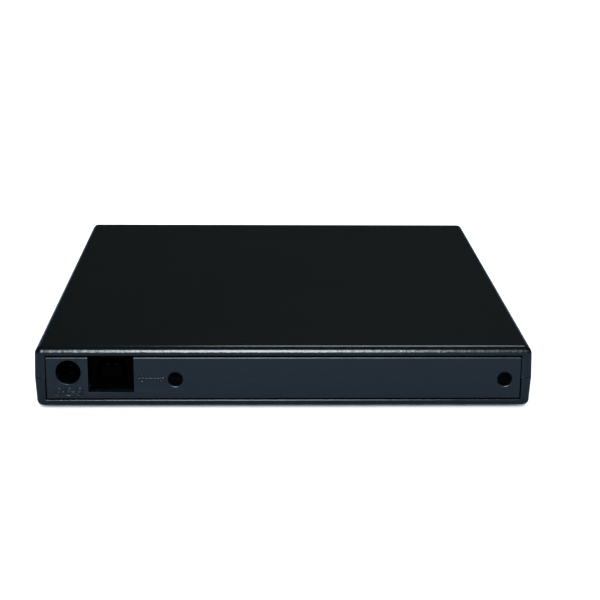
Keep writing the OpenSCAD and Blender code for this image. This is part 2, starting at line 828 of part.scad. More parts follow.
module tray_bezel() {
    button_gap = 0.3;
    color([0.1, 0.115, 0.12]) {
        difference() {
            intersection() {
                span([-drive_half, bezel_face_y, drive_low_z], [drive_half, tray_front_y, drive_top_z]);
                translate([0, tray_front_y, 0]) linear_extrude(drive_top_z + over)
                    polygon(rounded(drive_w, 2 * (tray_front_y - bezel_face_y), 0.8));
            }
            span([-drive_half + 1.6, bezel_face_y + 1.8, drive_low_z + 1.4],
                [drive_half - 1.6, tray_front_y + over, drive_top_z - 1.4]);
            span([button_x - button_w / 2 - button_gap, bezel_face_y - over,
                button_z - button_h / 2 - button_gap],
                [button_x + button_w / 2 + button_gap, tray_front_y,
                button_z + button_h / 2 + button_gap]);
            span([lamp_x - 1.5, bezel_face_y - over, button_z - 0.6],
                [lamp_x + 1.5, tray_front_y, button_z + 0.6]);
            bar(pinhole_x, pinhole_z, bezel_face_y - over, tray_front_y, 0.65);
        }
        for (x = clip_x) {
            span([x - clip_half, bezel_face_y + 1.5, clip_z],
                [x + clip_half, tray_front_y + 1.9, clip_z + 1]);
            span([x - clip_half, tray_front_y + 1.55, clip_z - 0.4],
                [x + clip_half, tray_front_y + 1.9, clip_z + 1]);
        }
    }
}

module led_window() {
    color([0.75, 0.9, 0.7]) {
        span([lamp_x - 1.45, bezel_face_y, button_z - 0.55],
            [lamp_x + 1.45, bezel_face_y + 2.2, button_z + 0.55]);
        bar(lamp_x, button_z, bezel_face_y + 2.2, tray_front_y + 2.6, 0.55);
    }
}

module eject_button() {
    stem_end_y = tray_front_y + 1.7;
    color([0.12, 0.135, 0.14]) {
        difference() {
            span([button_x - button_w / 2, bezel_face_y, button_z - button_h / 2],
                [button_x + button_w / 2, bezel_face_y + 3, button_z + button_h / 2]);
            span([button_x - button_w / 2 + 0.9, bezel_face_y + 1.2, button_z - button_h / 2 + 0.9],
                [button_x + button_w / 2 - 0.9, bezel_face_y + 4, button_z + button_h / 2 - 0.9]);
        }
        bar(button_x, button_z, bezel_face_y + 1, stem_end_y, stem_r);
    }
}

module tray_board() {
    color([0.05, 0.3, 0.16]) span([26, tray_front_y + 2.4, button_z - 2.6],
        [46, tray_front_y + 8.4, button_z - 1.8]);
}

module eject_switch() {
    color([0.2, 0.2, 0.2]) {
        span([button_x - 2.2, tray_front_y + 3.2, button_z - 1.8],
            [button_x + 2.2, tray_front_y + 6.2, button_z + 1.3]);
        bar(button_x, button_z, tray_front_y + 2.6, tray_front_y + 3.3, 0.8);
    }
}

module traverse_deck() {
    window_half = 10.4;
    color([0.62, 0.64, 0.66]) {
        difference() {
            intersection() {
                on_deck() span([-17, -19.5, deck_plate_z], [deck_outer_u, 24.6, deck_top_z]);
                deck_bay(deck_plate_z - over, deck_top_z + over);
            }
            on_deck() {
                span([14, -window_half, deck_plate_z - over],
                    [deck_outer_u - 2.5, window_half, deck_top_z + over]);
                for (spot = damper_spots) {
                    post(spot.x, spot.y, deck_plate_z - over, deck_top_z + over, 2);
                }
                post(0, 0, deck_plate_z - over, deck_top_z + over, 3);
            }
        }
        intersection() {
            deck_bay(deck_top_z - 0.1, deck_cover_z, 1);
            on_deck() for (u = [9.6, deck_outer_u - 2.6]) difference() {
                union() {
                    for (v = [-rod_offset, rod_offset]) {
                        span([u, v - 1.4, deck_top_z - 0.1], [u + 2.4, v + 1.4, deck_cover_z]);
                    }
                    if (u > lens_u) span([u, screw_offset - 3.3, deck_top_z - 0.1],
                        [u + 2.4, screw_offset + 1.7, screw_z + 2]);
                }
                for (v = [-rod_offset, rod_offset]) cross_bar(v, rod_z, u - over, u + 4, rod_r);
                cross_bar(screw_offset, screw_z, u - over, u + 2, screw_r + running_fit);
            }
        }
    }
}

module deck_dampers() {
    color([0.35, 0.2, 0.3]) on_deck() for (spot = damper_spots) {
        difference() {
            union() {
                post(spot.x, spot.y, deck_plate_z, deck_top_z, 1.98);
                post(spot.x, spot.y, deck_top_z, deck_top_z + 0.7, 2.6);
            }
            post(spot.x, spot.y, deck_plate_z - over, deck_top_z + over, 1);
        }
    }
}

module deck_screws() {
    color("silver") on_deck() for (spot = damper_spots) {
        translate([spot.x, spot.y, deck_plate_z - 0.5]) screw_up(2.2, 0.5, 0.98, 3.9);
    }
}

module deck_cover() {
    color([0.14, 0.14, 0.15]) difference() {
        intersection() {
            deck_window(0, deck_cover_z, deck_cover_z + 0.5);
            deck_bay(deck_cover_z - over, deck_cover_z + 2, 1.3);
        }
        post(0, spindle_y, deck_cover_z - over, deck_cover_z + over, 15.2);
        on_deck() span([12, -9.4, deck_cover_z - over], [deck_outer_u - 3, 9.4, deck_cover_z + over]);
    }
}

// The stator is fixed on the deck and the rotor cup turns round it
module spindle_stator() {
    color([0.7, 0.5, 0.25]) translate([0, spindle_y, 0]) difference() {
        union() {
            translate([0, 0, deck_top_z]) cylinder(h = 0.6, r = 12.9);
            translate([0, 0, deck_top_z + 0.6]) cylinder(h = 3, r = 2.4);
            for (i = [0:8]) rotate([0, 0, i * 40]) {
                span([2, -0.8, deck_top_z + 1.5], [10.6, 0.8, deck_top_z + 3]);
                span([5, -1.5, deck_top_z + 1.2], [8.6, 1.5, deck_top_z + 3.3]);
            }
        }
        translate([0, 0, deck_top_z - over]) cylinder(h = 6, r = shaft_r + running_fit);
    }
}

module spindle_rotor() {
    cup_low = deck_top_z + 1;
    color([0.8, 0.81, 0.83]) translate([0, spindle_y, 0]) difference() {
        rotate_extrude() polygon([
            [0, deck_top_z + 0.1], [shaft_r, deck_top_z + 0.1], [shaft_r, table_z - 0.8],
            [rotor_r - 0.8, table_z - 0.8], [rotor_r - 0.8, cup_low], [rotor_r, cup_low],
            [rotor_r, table_z], [turntable_r, table_z], [turntable_r, table_z + 0.6],
            [hub_r, table_z + 0.6], [hub_r, disc_z + 1.5], [hub_r - 0.8, disc_z + 2.3],
            [2.2, disc_z + 2.3], [2.2, disc_z + 1.9], [0, disc_z + 1.9]
        ]);
        for (i = [0:2]) rotate([0, 0, i * 120 + 30])
            span([pawl_inner_r, -pawl_half - 0.1, pawl_low_z - 0.05],
                [hub_r + over, pawl_half + 0.1, pawl_high_z + 0.05]);
    }
}

module turntable_ring() {
    color([0.12, 0.12, 0.13]) translate([0, spindle_y, disc_z - 0.3]) difference() {
        cylinder(h = 0.3, r = 14.2);
        translate([0, 0, -over]) cylinder(h = 3, r = 11);
    }
}

module hub_pawls() {
    color([0.75, 0.75, 0.72]) translate([0, spindle_y, 0]) for (i = [0:2]) {
        rotate([0, 0, i * 120 + 30])
            span([pawl_inner_r, -pawl_half, pawl_low_z], [hub_r - 0.02, pawl_half, pawl_high_z]);
    }
}

module guide_rods() {
    color([0.85, 0.86, 0.88]) on_deck() for (v = [-rod_offset, rod_offset]) {
        cross_bar(v, rod_z, 9.7, deck_outer_u - 1.2, rod_r);
    }
}

module sled_motor() {
    color([0.7, 0.71, 0.73]) on_deck() difference() {
        intersection() {
            cross_bar(screw_offset, screw_z, 4, 15, 2.7);
            span([0, 0, deck_top_z], [20, 30, deck_cover_z - 0.1]);
        }
        cross_bar(screw_offset, screw_z, 13, 16, screw_r + running_fit);
    }
}

// Lead screw: its ends are plain and its thread is a row of ridges
module lead_screw() {
    thread_from = 16.5;
    thread_to = 62;
    ridge = 0.75;
    ridges = floor((thread_to - thread_from) / ridge);
    root_r = screw_r - 0.2;
    color([0.75, 0.76, 0.78]) on_deck() translate([0, screw_offset, screw_z]) rotate([0, 90, 0])
        rotate_extrude() polygon(concat(
            [[0, 13.2], [screw_r, 13.2], [screw_r, thread_from]],
            [for (i = [0:ridges - 1], k = [0, 1])
                [k == 0 ? root_r : screw_r, thread_from + (i + 0.3 + 0.5 * k) * ridge]],
            [[screw_r, thread_to], [screw_r, deck_outer_u - 1.4], [0, deck_outer_u - 1.4]]
        ));
}

module pickup_sled() {
    rear_u = lens_u - 8;
    front_u = lens_u + 5;
    low_z = deck_top_z + 0.3;
    high_z = deck_cover_z - 0.4;
    color([0.32, 0.33, 0.36]) on_deck() difference() {
        union() {
            span([rear_u, -13.6, low_z], [front_u, 13.6, high_z]);
            span([rear_u + 1, -9.6, deck_plate_z], [front_u - 1, 9.6, low_z + 0.1]);
        }
        cross_bar(-rod_offset, rod_z, rear_u - over, front_u + over, rod_r + running_fit);
        span([rear_u - over, rod_offset - 1.1, rod_z - 1.1], [front_u + over, 15, rod_z + 1.1]);
        span([lens_u - 5.4, -6.2, deck_plate_z + 2.8], [lens_u + 4, 6.2, high_z + over]);
    }
}

module sled_follower() {
    sled_top = deck_cover_z - 0.4;
    color([0.9, 0.9, 0.86]) on_deck() difference() {
        span([lens_u - 5, 13.6, screw_z], [lens_u + 4, screw_offset + 1.6, sled_top]);
        cross_bar(screw_offset, screw_z, lens_u - 8, lens_u + 8, screw_r + running_fit);
    }
}

module lens_holder() {
    color([0.15, 0.15, 0.16]) on_deck() difference() {
        union() {
            span([lens_u - 3.6, -5.2, lens_holder_low], [lens_u + 3.6, 5.2, lens_holder_high]);
            post(lens_u, 0, lens_holder_low, lens_holder_high + 0.2, 3);
        }
        post(lens_u, 0, lens_holder_low - over, lens_holder_high + over, 2);
    }
}

module objective_lens() {
    color([0.5, 0.6, 0.85]) on_deck() translate([lens_u, 0, lens_holder_high]) {
        translate([0, 0, -0.8]) cylinder(h = 0.8, r = 2);
        intersection() {
            translate([0, 0, -3.8]) sphere(r = 4.4);
            translate([0, 0, -0.1]) cylinder(h = 2, r = 1.9);
        }
    }
}

module latch_lever() {
    arm = 1.4;
    hook_y = latch_post_y + 1.4;
    color([0.85, 0.85, 0.83]) difference() {
        union() {
            post(latch_pivot_x, latch_pivot_y, latch_z, latch_z + latch_t, 2.6);
            span([latch_pivot_x - arm, hook_y, latch_z],
                [latch_pivot_x + arm, latch_pivot_y, latch_z + latch_t]);
            translate([0, 0, latch_z]) linear_extrude(latch_t) polygon([
                [latch_pivot_x + arm - 0.1, hook_y], [latch_pivot_x + arm + 0.6, hook_y],
                [latch_post_x + 0.7, hook_y + 0.6], [latch_post_x + 0.7, hook_y + 2],
                [latch_pivot_x + arm - 0.1, hook_y + 2.6]
            ]);
        }
        post(latch_pivot_x, latch_pivot_y, latch_z - over, latch_z + latch_t + over, 1 + running_fit);
    }
}

module latch_solenoid() {
    x = latch_pivot_x - 8.6;
    y = latch_pivot_y - 6;
    color([0.75, 0.45, 0.2]) {
        span([x - 3.6, y - 5, latch_z + 0.2], [x + 3.6, y - 4, wing_low_z - 0.1]);
        span([x - 3.6, y + 4, latch_z + 0.2], [x + 3.6, y + 5, wing_low_z - 0.1]);
        bar(x, latch_z + 2.6, y - 4.1, y + 4.1, 2);
    }
}

module ejector_plunger() {
    color([0.85, 0.85, 0.83]) {
        bar(plunger_x, plunger_z, plunger_front_y, plunger_front_y + plunger_length - 1, plunger_r);
        translate([plunger_x, plunger_front_y + plunger_length - 1, plunger_z]) rotate([-90, 0, 0])
            cylinder(h = 1, r1 = plunger_r, r2 = plunger_r - 0.6);
    }
}

// Points of a ring of wire at one step along the spring's helix
function wire_ring(turn, mean_r, wire_r, pitch, sides) =
    [for (k = [0:sides - 1])
        let (r = mean_r + wire_r * cos(k * 360 / sides))
        [r * cos(turn * 360), r * sin(turn * 360), turn * pitch + wire_r * sin(k * 360 / sides)]];

module ejector_spring() {
    turns = 9;
    per_turn = 12;
    sides = 6;
    wire_r = 0.22;
    pitch = 1.5;
    rings = turns * per_turn;
    points = [for (i = [0:rings]) each wire_ring(i / per_turn, 1.25, wire_r, pitch, sides)];
    side_faces = [for (i = [0:rings - 1], k = [0:sides - 1])
        let (next = (k + 1) % sides)
        [i * sides + k, (i + 1) * sides + k, (i + 1) * sides + next, i * sides + next]];
    caps = [[for (k = [0:sides - 1]) k], [for (k = [sides - 1:-1:0]) rings * sides + k]];
    color("silver") translate([plunger_x, plunger_front_y - 0.4, plunger_z]) rotate([90, 0, 0])
        polyhedron(points, concat(side_faces, caps));
}

top_cover();
bottom_cover();
rear_panel();
rear_panel_screws();
case_screws();
foot_front_left();
foot_front_right();
foot_rear_left();
foot_rear_right();
bridge_board();
board_screws();
bridge_chip();
board_crystal();
board_capacitors();
voltage_regulator();
host_connector();
usb_shell();
usb_core();
usb_contacts();
dc_jack_body();
dc_jack_pin();
dc_jack_spring();
drive_screws();
drive_chassis();
drive_cover();
drive_cover_screws();
guide_left();
guide_right();
drive_board();
drive_chip();
drive_connector();
flex_cable_fixed();
rail_left();
rail_right();
tray();
tray_bezel();
led_window();
eject_button();
tray_board();
eject_switch();
flex_cable_moving();
traverse_deck();
deck_dampers();
deck_screws();
deck_cover();
spindle_stator();
spindle_rotor();
turntable_ring();
hub_pawls();
guide_rods();
sled_motor();
lead_screw();
pickup_sled();
sled_follower();
lens_holder();
objective_lens();
latch_lever();
latch_solenoid();
ejector_plunger();
ejector_spring();
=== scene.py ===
# Looks of the slim external optical drive. All lengths are in metres, in the part's frame:
# +Z is up, the tray opens towards -Y and the sockets are in the rear panel, towards +Y.
import json
import math

import bmesh
import bpy
from mathutils import Matrix, Vector


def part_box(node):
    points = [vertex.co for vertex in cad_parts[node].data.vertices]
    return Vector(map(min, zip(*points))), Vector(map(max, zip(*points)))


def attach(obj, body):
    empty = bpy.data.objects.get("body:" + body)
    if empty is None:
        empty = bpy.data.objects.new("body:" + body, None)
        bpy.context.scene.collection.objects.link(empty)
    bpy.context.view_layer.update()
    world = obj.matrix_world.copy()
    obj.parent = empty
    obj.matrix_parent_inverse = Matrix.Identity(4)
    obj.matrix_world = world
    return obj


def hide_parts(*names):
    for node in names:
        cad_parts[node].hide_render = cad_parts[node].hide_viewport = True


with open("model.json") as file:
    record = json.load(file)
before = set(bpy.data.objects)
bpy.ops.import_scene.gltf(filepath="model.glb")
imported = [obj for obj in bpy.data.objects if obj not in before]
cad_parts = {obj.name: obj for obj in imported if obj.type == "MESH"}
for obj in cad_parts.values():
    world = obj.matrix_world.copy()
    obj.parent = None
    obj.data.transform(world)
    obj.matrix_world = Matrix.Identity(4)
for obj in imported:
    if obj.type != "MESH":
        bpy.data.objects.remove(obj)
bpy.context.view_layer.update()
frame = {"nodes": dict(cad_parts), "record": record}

MM = 0.001
scene = bpy.context.scene
scene.view_settings.view_transform = "Standard"


# ---------------------------------------------------------------- camera
def make_camera():
    """Stands behind the case and a little above it, turned and rolled a touch."""
    heading, pitch, roll = math.radians(178.281), math.radians(16.776), 0.0094
    stand = Vector((6.92 * MM, 442.04 * MM, 143.55 * MM))
    data = bpy.data.cameras.new("camera")
    data.lens = 83.79
    data.sensor_width = 36
    data.clip_start = 10 * MM
    camera = bpy.data.objects.new("camera", data)
    scene.collection.objects.link(camera)
    turn = (Matrix.Rotation(heading, 4, "Z") @ Matrix.Rotation(math.pi / 2 - pitch, 4, "X")
            @ Matrix.Rotation(roll, 4, "Z"))
    camera.matrix_world = Matrix.Translation(stand) @ turn
    scene.camera = camera


make_camera()


# ---------------------------------------------------------------- materials
def node_of(tree, kind, **inputs):
    """A shader node with some of its inputs set."""
    node = tree.nodes.new(kind)
    for key, value in inputs.items():
        node.inputs[key.replace("_", " ")].default_value = value
    return node


def noise(tree, scale, detail=2.0, rough=0.5):
    """Noise in the object's own coordinates; scale is in features per metre."""
    where = tree.nodes.new("ShaderNodeTexCoord")
    node = node_of(tree, "ShaderNodeTexNoise", Scale=scale, Detail=detail, Roughness=rough)
    tree.links.new(where.outputs["Object"], node.inputs["Vector"])
    return node.outputs["Fac"]


def spread(tree, value, low, high, start=0.3, end=0.7):
    """Maps a value from one range onto another and holds it there; start and end suit a noise."""
    node = node_of(tree, "ShaderNodeMapRange", From_Min=start, From_Max=end, To_Min=low, To_Max=high)
    tree.links.new(value, node.inputs["Value"])
    return node.outputs["Result"]


def calculate(tree, operation, first, second=None):
    """One step of arithmetic on one or two values."""
    node = tree.nodes.new("ShaderNodeMath")
    node.operation = operation
    tree.links.new(first, node.inputs[0])
    if second is not None:
        tree.links.new(second, node.inputs[1])
    return node.outputs["Value"]


def blend_colour(tree, factor, first, second):
    """Mixes two colours by a factor."""
    node = tree.nodes.new("ShaderNodeMix")
    node.data_type = "RGBA"
    tree.links.new(factor, node.inputs["Factor"])
    for socket, colour in ((node.inputs[6], first), (node.inputs[7], second)):
        if isinstance(colour, bpy.types.NodeSocket):
            tree.links.new(colour, socket)
        else:
            socket.default_value = (*colour, 1)
    return node.outputs[2]


def bump(tree, height, depth, before=None):
    """Turns a height between 0 and 1 into a bump of that depth in metres, over an earlier one."""
    node = node_of(tree, "ShaderNodeBump", Strength=1.0, Distance=depth)
    tree.links.new(height, node.inputs["Height"])
    if before is not None:
        tree.links.new(before, node.inputs["Normal"])
    return node.outputs["Normal"]


def material(name, metallic=0.0, specular=0.5):
    """A new material: its tree and its shader."""
    made = bpy.data.materials.new(name)
    made.use_nodes = True
    shader = made.node_tree.nodes["Principled BSDF"]
    shader.inputs["Metallic"].default_value = metallic
    shader.inputs["Specular IOR Level"].default_value = specular
    return made, made.node_tree, shader


def moulded(name, colour, rough, grain=0.00035, depth=0.00002, specular=0.5, worn=0.35, wave=0.0):
    """Moulded plastic: spark-eroded grain, faint mottling and edges rubbed a little lighter.

    grain is the size of the grain and depth its depth. worn is how far the edges are rubbed, and
    wave is the depth of a slow unevenness, which breaks up a highlight and fades on level faces.
    """
    made, tree, shader = material(name, specular=specular)
    mottle = spread(tree, noise(tree, 60, 3), 0.0, 1.0)
    light = tuple(c * 1.2 for c in colour)
    base = blend_colour(tree, mottle, colour, light)
    geometry = tree.nodes.new("ShaderNodeNewGeometry")
    edge = spread(tree, geometry.outputs["Pointiness"], 0.0, worn, 0.52, 0.60)
    rubbed = tuple(c * 2.0 + 0.002 for c in colour)
    base = blend_colour(tree, edge, base, rubbed)
    tree.links.new(base, shader.inputs["Base Color"])
    sheen = spread(tree, noise(tree, 900, 2), rough - 0.01, rough + 0.02)
    tree.links.new(sheen, shader.inputs["Roughness"])
    relief = None
    if wave:
        facing = tree.nodes.new("ShaderNodeSeparateXYZ")
        tree.links.new(geometry.outputs["Normal"], facing.inputs["Vector"])
        off_level = spread(tree, facing.outputs["Z"], 1.0, 0.12, 0.9, 0.99)
        uneven = calculate(tree, "MULTIPLY", noise(tree, 520, 3, 0.65), off_level)
        relief = bump(tree, uneven, wave)
    fine = noise(tree, 1 / grain, 2.0, 0.6)
    tree.links.new(bump(tree, fine, depth, relief), shader.inputs["Normal"])
    return made


def metal(name, colour, rough, brushed=(1, 1, 1), depth=0.000004):
    """Bare or plated metal; brushed stretches its scratches along an axis."""
    made, tree, shader = material(name, metallic=1.0)
    where = tree.nodes.new("ShaderNodeTexCoord")
    stretch = tree.nodes.new("ShaderNodeMapping")
    stretch.inputs["Scale"].default_value = brushed
    tree.links.new(where.outputs["Object"], stretch.inputs["Vector"])
    lines = node_of(tree, "ShaderNodeTexNoise", Scale=900, Detail=4.0, Roughness=0.6)
    tree.links.new(stretch.outputs["Vector"], lines.inputs["Vector"])
    patches = spread(tree, noise(tree, 90, 3), 0.0, 1.0)
    dull = tuple(c * 0.82 for c in colour)
    tree.links.new(blend_colour(tree, patches, colour, dull), shader.inputs["Base Color"])
    tree.links.new(spread(tree, lines.outputs["Fac"], rough - 0.06, rough + 0.1),
                   shader.inputs["Roughness"])
    tree.links.new(bump(tree, lines.outputs["Fac"], depth), shader.inputs["Normal"])
    return made


def circuit(name):
    """Black-green solder mask with copper tracks showing through as lighter, raised lines."""
    made, tree, shader = material(name, specular=0.1)
    where = tree.nodes.new("ShaderNodeTexCoord")
    cells = tree.nodes.new("ShaderNodeTexVoronoi")
    cells.distance = "MANHATTAN"
    cells.feature = "F1"
    cells.inputs["Scale"].default_value = 420
    tree.links.new(where.outputs["Object"], cells.inputs["Vector"])
    tracks = spread(tree, cells.outputs["Distance"], 0.0, 1.0, 0.42, 0.5)
    base = blend_colour(tree, tracks, (0.0008, 0.003, 0.002), (0.002, 0.007, 0.005))
    tree.links.new(base, shader.inputs["Base Color"])
    tree.links.new(spread(tree, noise(tree, 500), 0.28, 0.42), shader.inputs["Roughness"])
    tree.links.new(bump(tree, tracks, 0.00003), shader.inputs["Normal"])
    return made


def clear(name, colour, rough):
    """Clear glass or plastic."""
    made, tree, shader = material(name)
    shader.inputs["Transmission Weight"].default_value = 0.85
    shader.inputs["IOR"].default_value = 1.5
    haze = spread(tree, noise(tree, 700, 2), 0.9, 1.0)
    tint = blend_colour(tree, haze, tuple(c * 0.8 for c in colour), colour)
    tree.links.new(tint, shader.inputs["Base Color"])
    tree.links.new(spread(tree, noise(tree, 400), rough, rough + 0.05), shader.inputs["Roughness"])
    return made


LOOKS = {
    "shell": lambda: moulded("shell", (0.0010, 0.0018, 0.0015), 0.2, depth=0.000006, wave=0.00007),
    "panel": lambda: moulded("panel", (0.0008, 0.002, 0.003), 0.30, depth=0.000007, specular=0.54,
                             wave=0.00006),
    "bezel": lambda: moulded("bezel", (0.0016, 0.0026, 0.0028), 0.26, depth=0.000004, specular=0.45),
    "rubber": lambda: moulded("rubber", (0.010, 0.010, 0.010), 0.75, grain=0.0002, specular=0.2),
    # Black oxide screws, their colour darkened further as painted shade for the deep recesses that they
    # sit in.
    "black_screw": lambda: metal("black_screw", (0.003, 0.0032, 0.0036), 0.4),
    "zinc_screw": lambda: metal("zinc_screw", (0.62, 0.61, 0.57), 0.32),
    "board": lambda: circuit("board"),
    "chip": lambda: moulded("chip", (0.012, 0.012, 0.013), 0.5, grain=0.0001, depth=0.000008),
    "can": lambda: metal("can", (0.78, 0.78, 0.79), 0.25),
    # Painted shade: the socket's plastic is near black and has no gloss, so that the inside of the
    # square notch reads as deep shade.
    "connector": lambda: moulded("connector", (0.0004, 0.0004, 0.0005), 0.6, grain=0.0001,
                                 depth=0.000006, specular=0.0, worn=0.0),
    # Painted shade: the socket's metal is near black, so that it reads as shade inside the notch.
    "dark_metal": lambda: metal("dark_metal", (0.002, 0.002, 0.0024), 0.4),
    # Painted shade: the gold contacts are darkened to brown so that they show no glint inside the
    # socket.
    "contact": lambda: metal("contact", (0.014, 0.010, 0.005), 0.5),
    # Painted shade: the power socket's pin is darkened so that the round hole reads as shade.
    "pin_metal": lambda: metal("pin_metal", (0.004, 0.004, 0.004), 0.55),
    "sheet_steel": lambda: metal("sheet_steel", (0.6, 0.61, 0.61), 0.34, brushed=(1, 0.06, 1)),
    "nylon": lambda: moulded("nylon", (0.62, 0.6, 0.54), 0.45, grain=0.0003, depth=0.00001, worn=0.1),
    "cable": lambda: moulded("cable", (0.62, 0.64, 0.66), 0.3, grain=0.001, depth=0.00001, worn=0.0),
    "tray_plastic": lambda: moulded("tray_plastic", (0.006, 0.0068, 0.0072), 0.4, specular=0.3),
    "lamp": lambda: moulded("lamp", (0.16, 0.21, 0.13), 0.2, depth=0.000002, specular=0.5, worn=0.0),
    "copper": lambda: metal("copper", (0.72, 0.34, 0.16), 0.35, brushed=(1, 1, 0.2)),
    "bright_metal": lambda: metal("bright_metal", (0.55, 0.55, 0.56), 0.3, depth=0.0000006),
    "cast": lambda: metal("cast", (0.25, 0.25, 0.27), 0.45, depth=0.00002),
    "black_part": lambda: moulded("black_part", (0.01, 0.01, 0.011), 0.45, grain=0.0002, depth=0.00001),
    "optic": lambda: clear("optic", (0.55, 0.68, 1.0), 0.02),
}
looks = {name: make() for name, make in LOOKS.items()}
slot_of = {row["node"]: row["material_slot"] for row in frame["record"]["subparts"]}
body_of = {node: body for body, nodes in frame["record"]["behaviour"]["bodies"].items()
           for node in nodes}


def dress(obj, slot_name):
    """Gives an object its one material."""
    obj.data.materials.clear()
    obj.data.materials.append(looks[slot_name])


# ---------------------------------------------------------------- mesh tools
def quarter(step, end=90):
    """Cosines and sines of angles from 0 degrees to a quarter turn, a step of degrees apart."""
    return [(math.cos(math.radians(a)), math.sin(math.radians(a))) for a in range(0, end + 1, step)]


def ring(half_x, half_y, corner, z, steps=8):
    """Points of a rounded rectangle about the Z axis, at one height."""
    points = []
    for sign_x, sign_y, start in ((1, 1, 0), (-1, 1, 90), (-1, -1, 180), (1, -1, 270)):
        for i in range(steps + 1):
            a = math.radians(start + 90 * i / steps)
            points.append(Vector((sign_x * (half_x - corner) + corner * math.cos(a),
                                  sign_y * (half_y - corner) + corner * math.sin(a), z)))
    return points


def circle(x, y, z, radius, steps=48, axis="Z"):
    """Points of a circle round an upright axis, or round one along Y."""
    points = []
    for i in range(steps):
        a = 2 * math.pi * i / steps
        u, v = radius * math.cos(a), radius * math.sin(a)
        points.append(Vector((x + u, y + v, z)) if axis == "Z" else Vector((x + u, y, z - v)))
    return points


def loft(bm, rings, close=True):
    """Skins a row of rings with quads, and closes the first and the last."""
    rows = [[bm.verts.new(p) for p in points] for points in rings]
    count = len(rows[0])
    for below, above in zip(rows, rows[1:]):
        for i in range(count):
            j = (i + 1) % count
            bm.faces.new((below[i], below[j], above[j], above[i]))
    if close:
        bm.faces.new(reversed(rows[0]))
        bm.faces.new(rows[-1])
    return rows


def turned(bm, x, y, profile, steps=48, axis="Z"):
    """Skins a row of (radius, height) pairs turned round an axis through a point.

    For the axis Y, the point is an X and a Z, and the heights are along Y.
    """
    if axis == "Z":
        rings = [circle(x, y, h, r, steps) for r, h in profile]
    else:
        rings = [circle(x, h, y, r, steps, "Y") for r, h in profile]
    return loft(bm, rings)


def block(bm, low, high):
    """Box between two opposite corners."""
    corners = [(low[0], low[1]), (high[0], low[1]), (high[0], high[1]), (low[0], high[1])]
    return loft(bm, [[Vector((x, y, z)) for x, y in corners] for z in (low[2], high[2])])


def prism_x(bm, outline, from_x, to_x):
    """Solid of an outline in Y and Z, extruded along X."""
    return loft(bm, [[Vector((x, y, z)) for y, z in outline] for x in (from_x, to_x)])


def object_of(name, bm):
    """Turns a bmesh into an object with its faces turned outwards."""
    bmesh.ops.recalc_face_normals(bm, faces=bm.faces)
    mesh = bpy.data.meshes.new(name)
    bm.to_mesh(mesh)
    bm.free()
    obj = bpy.data.objects.new(name, mesh)
    scene.collection.objects.link(obj)
    return obj


def combine(obj, tool_bm, operation="DIFFERENCE"):
    """Cuts a tool from an object or adds it, and keeps the result as the object's mesh."""
    tool = object_of("tool", tool_bm)
    step = obj.modifiers.new("step", "BOOLEAN")
    step.operation = operation
    step.solver = "EXACT"
    step.use_self = True
    step.object = tool
    bpy.context.view_layer.update()
    result = bpy.data.meshes.new_from_object(obj.evaluated_get(bpy.context.evaluated_depsgraph_get()))
    obj.modifiers.remove(step)
    old = obj.data
    obj.data = result
    bpy.data.meshes.remove(old)
    bpy.data.objects.remove(tool)


def round_edges(obj, width, angle, segments):
    """Rounds the edges sharper than an angle in degrees."""
    bevel = obj.modifiers.new("bevel", "BEVEL")
    bevel.width = width
    bevel.segments = segments
    bevel.limit_method = "ANGLE"
    bevel.angle_limit = math.radians(angle)
    bevel.use_clamp_overlap = True


def even_shading(obj):
    """Makes the large faces rule the shading, so that they look flat beside a rounded edge."""
    even = obj.modifiers.new("even", "WEIGHTED_NORMAL")
    even.weight = 90
    even.keep_sharp = True


def smooth(obj, width=0.0, segments=3):
    """Shades a made piece smooth and rounds its sharp edges by a width."""
    for face in obj.data.polygons:
        face.use_smooth = True
    if width:
        round_edges(obj, width, 35, segments)
    even_shading(obj)


def place(obj, node):
    """Puts a made piece in the place of its CAD node: body, finish and material."""
    slot_name = slot_of[node]
    dress(obj, slot_name)
    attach(obj, body_of[node])
    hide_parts(node)
    made_nodes.add(node)


made_nodes = set()

# ---------------------------------------------------------------- places taken from the frame
LIP_H = 1.2 * MM                  # the lower cover's lip above the parting line
top_low, top_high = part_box("top_cover")
bottom_low, bottom_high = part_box("bottom_cover")
half_w = bottom_high.x
rear_y = bottom_high.y
base_z = bottom_low.z
top_z = top_high.z
split_z = bottom_high.z - LIP_H
floor_z = top_low.z
wall_t = floor_z - base_z
ceiling_z = top_z - wall_t
drive_low, drive_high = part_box("drive_chassis")
drive_top_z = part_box("drive_cover")[1].z
panel_low, panel_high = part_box("rear_panel")
mounts = {row["name"]: row for row in frame["record"]["mounts"]}

SIDE_T, REAR_T, FRONT_T = 2.0 * MM, 2.6 * MM, 2.5 * MM
INSIDE_R = 0.8 * MM
GAP = 0.35 * MM                   # round the drive and the rear panel
UPPER_INSET = 0.15 * MM           # how much closer the upper cover comes to the panel's ends
LIP_FLARE, SILL_R = 0.6 * MM, 0.28 * MM
PARTING_R = 0.12 * MM
PARTING_H = 0.3 * MM              # height of the ring that ends the parting edge's shading
MIN_CORNER_R, CORNER_TAPER = 0.35 * MM, 0.75
PANEL_SET_BACK = 0.3 * MM
PANEL_T = 2.0 * MM
OVER = 1.0 * MM                   # how far a cutter goes past a face
SUNK = 0.4 * MM                   # how far an added solid starts inside the one that it joins
TOP_R, REAR_R, BOTTOM_R, LOWER_REAR_R, CORNER_R = 2.2 * MM, 2.0 * MM, 1.5 * MM, 2.1 * MM, 2.0 * MM
TOP_DRAFT, BOTTOM_DRAFT = math.radians(2.3), math.radians(3.5)
panel_face_y = rear_y - PANEL_SET_BACK
panel_back_y = panel_face_y - PANEL_T
cavity_rear_y = rear_y - REAR_T
cavity_front_y = -rear_y + FRONT_T


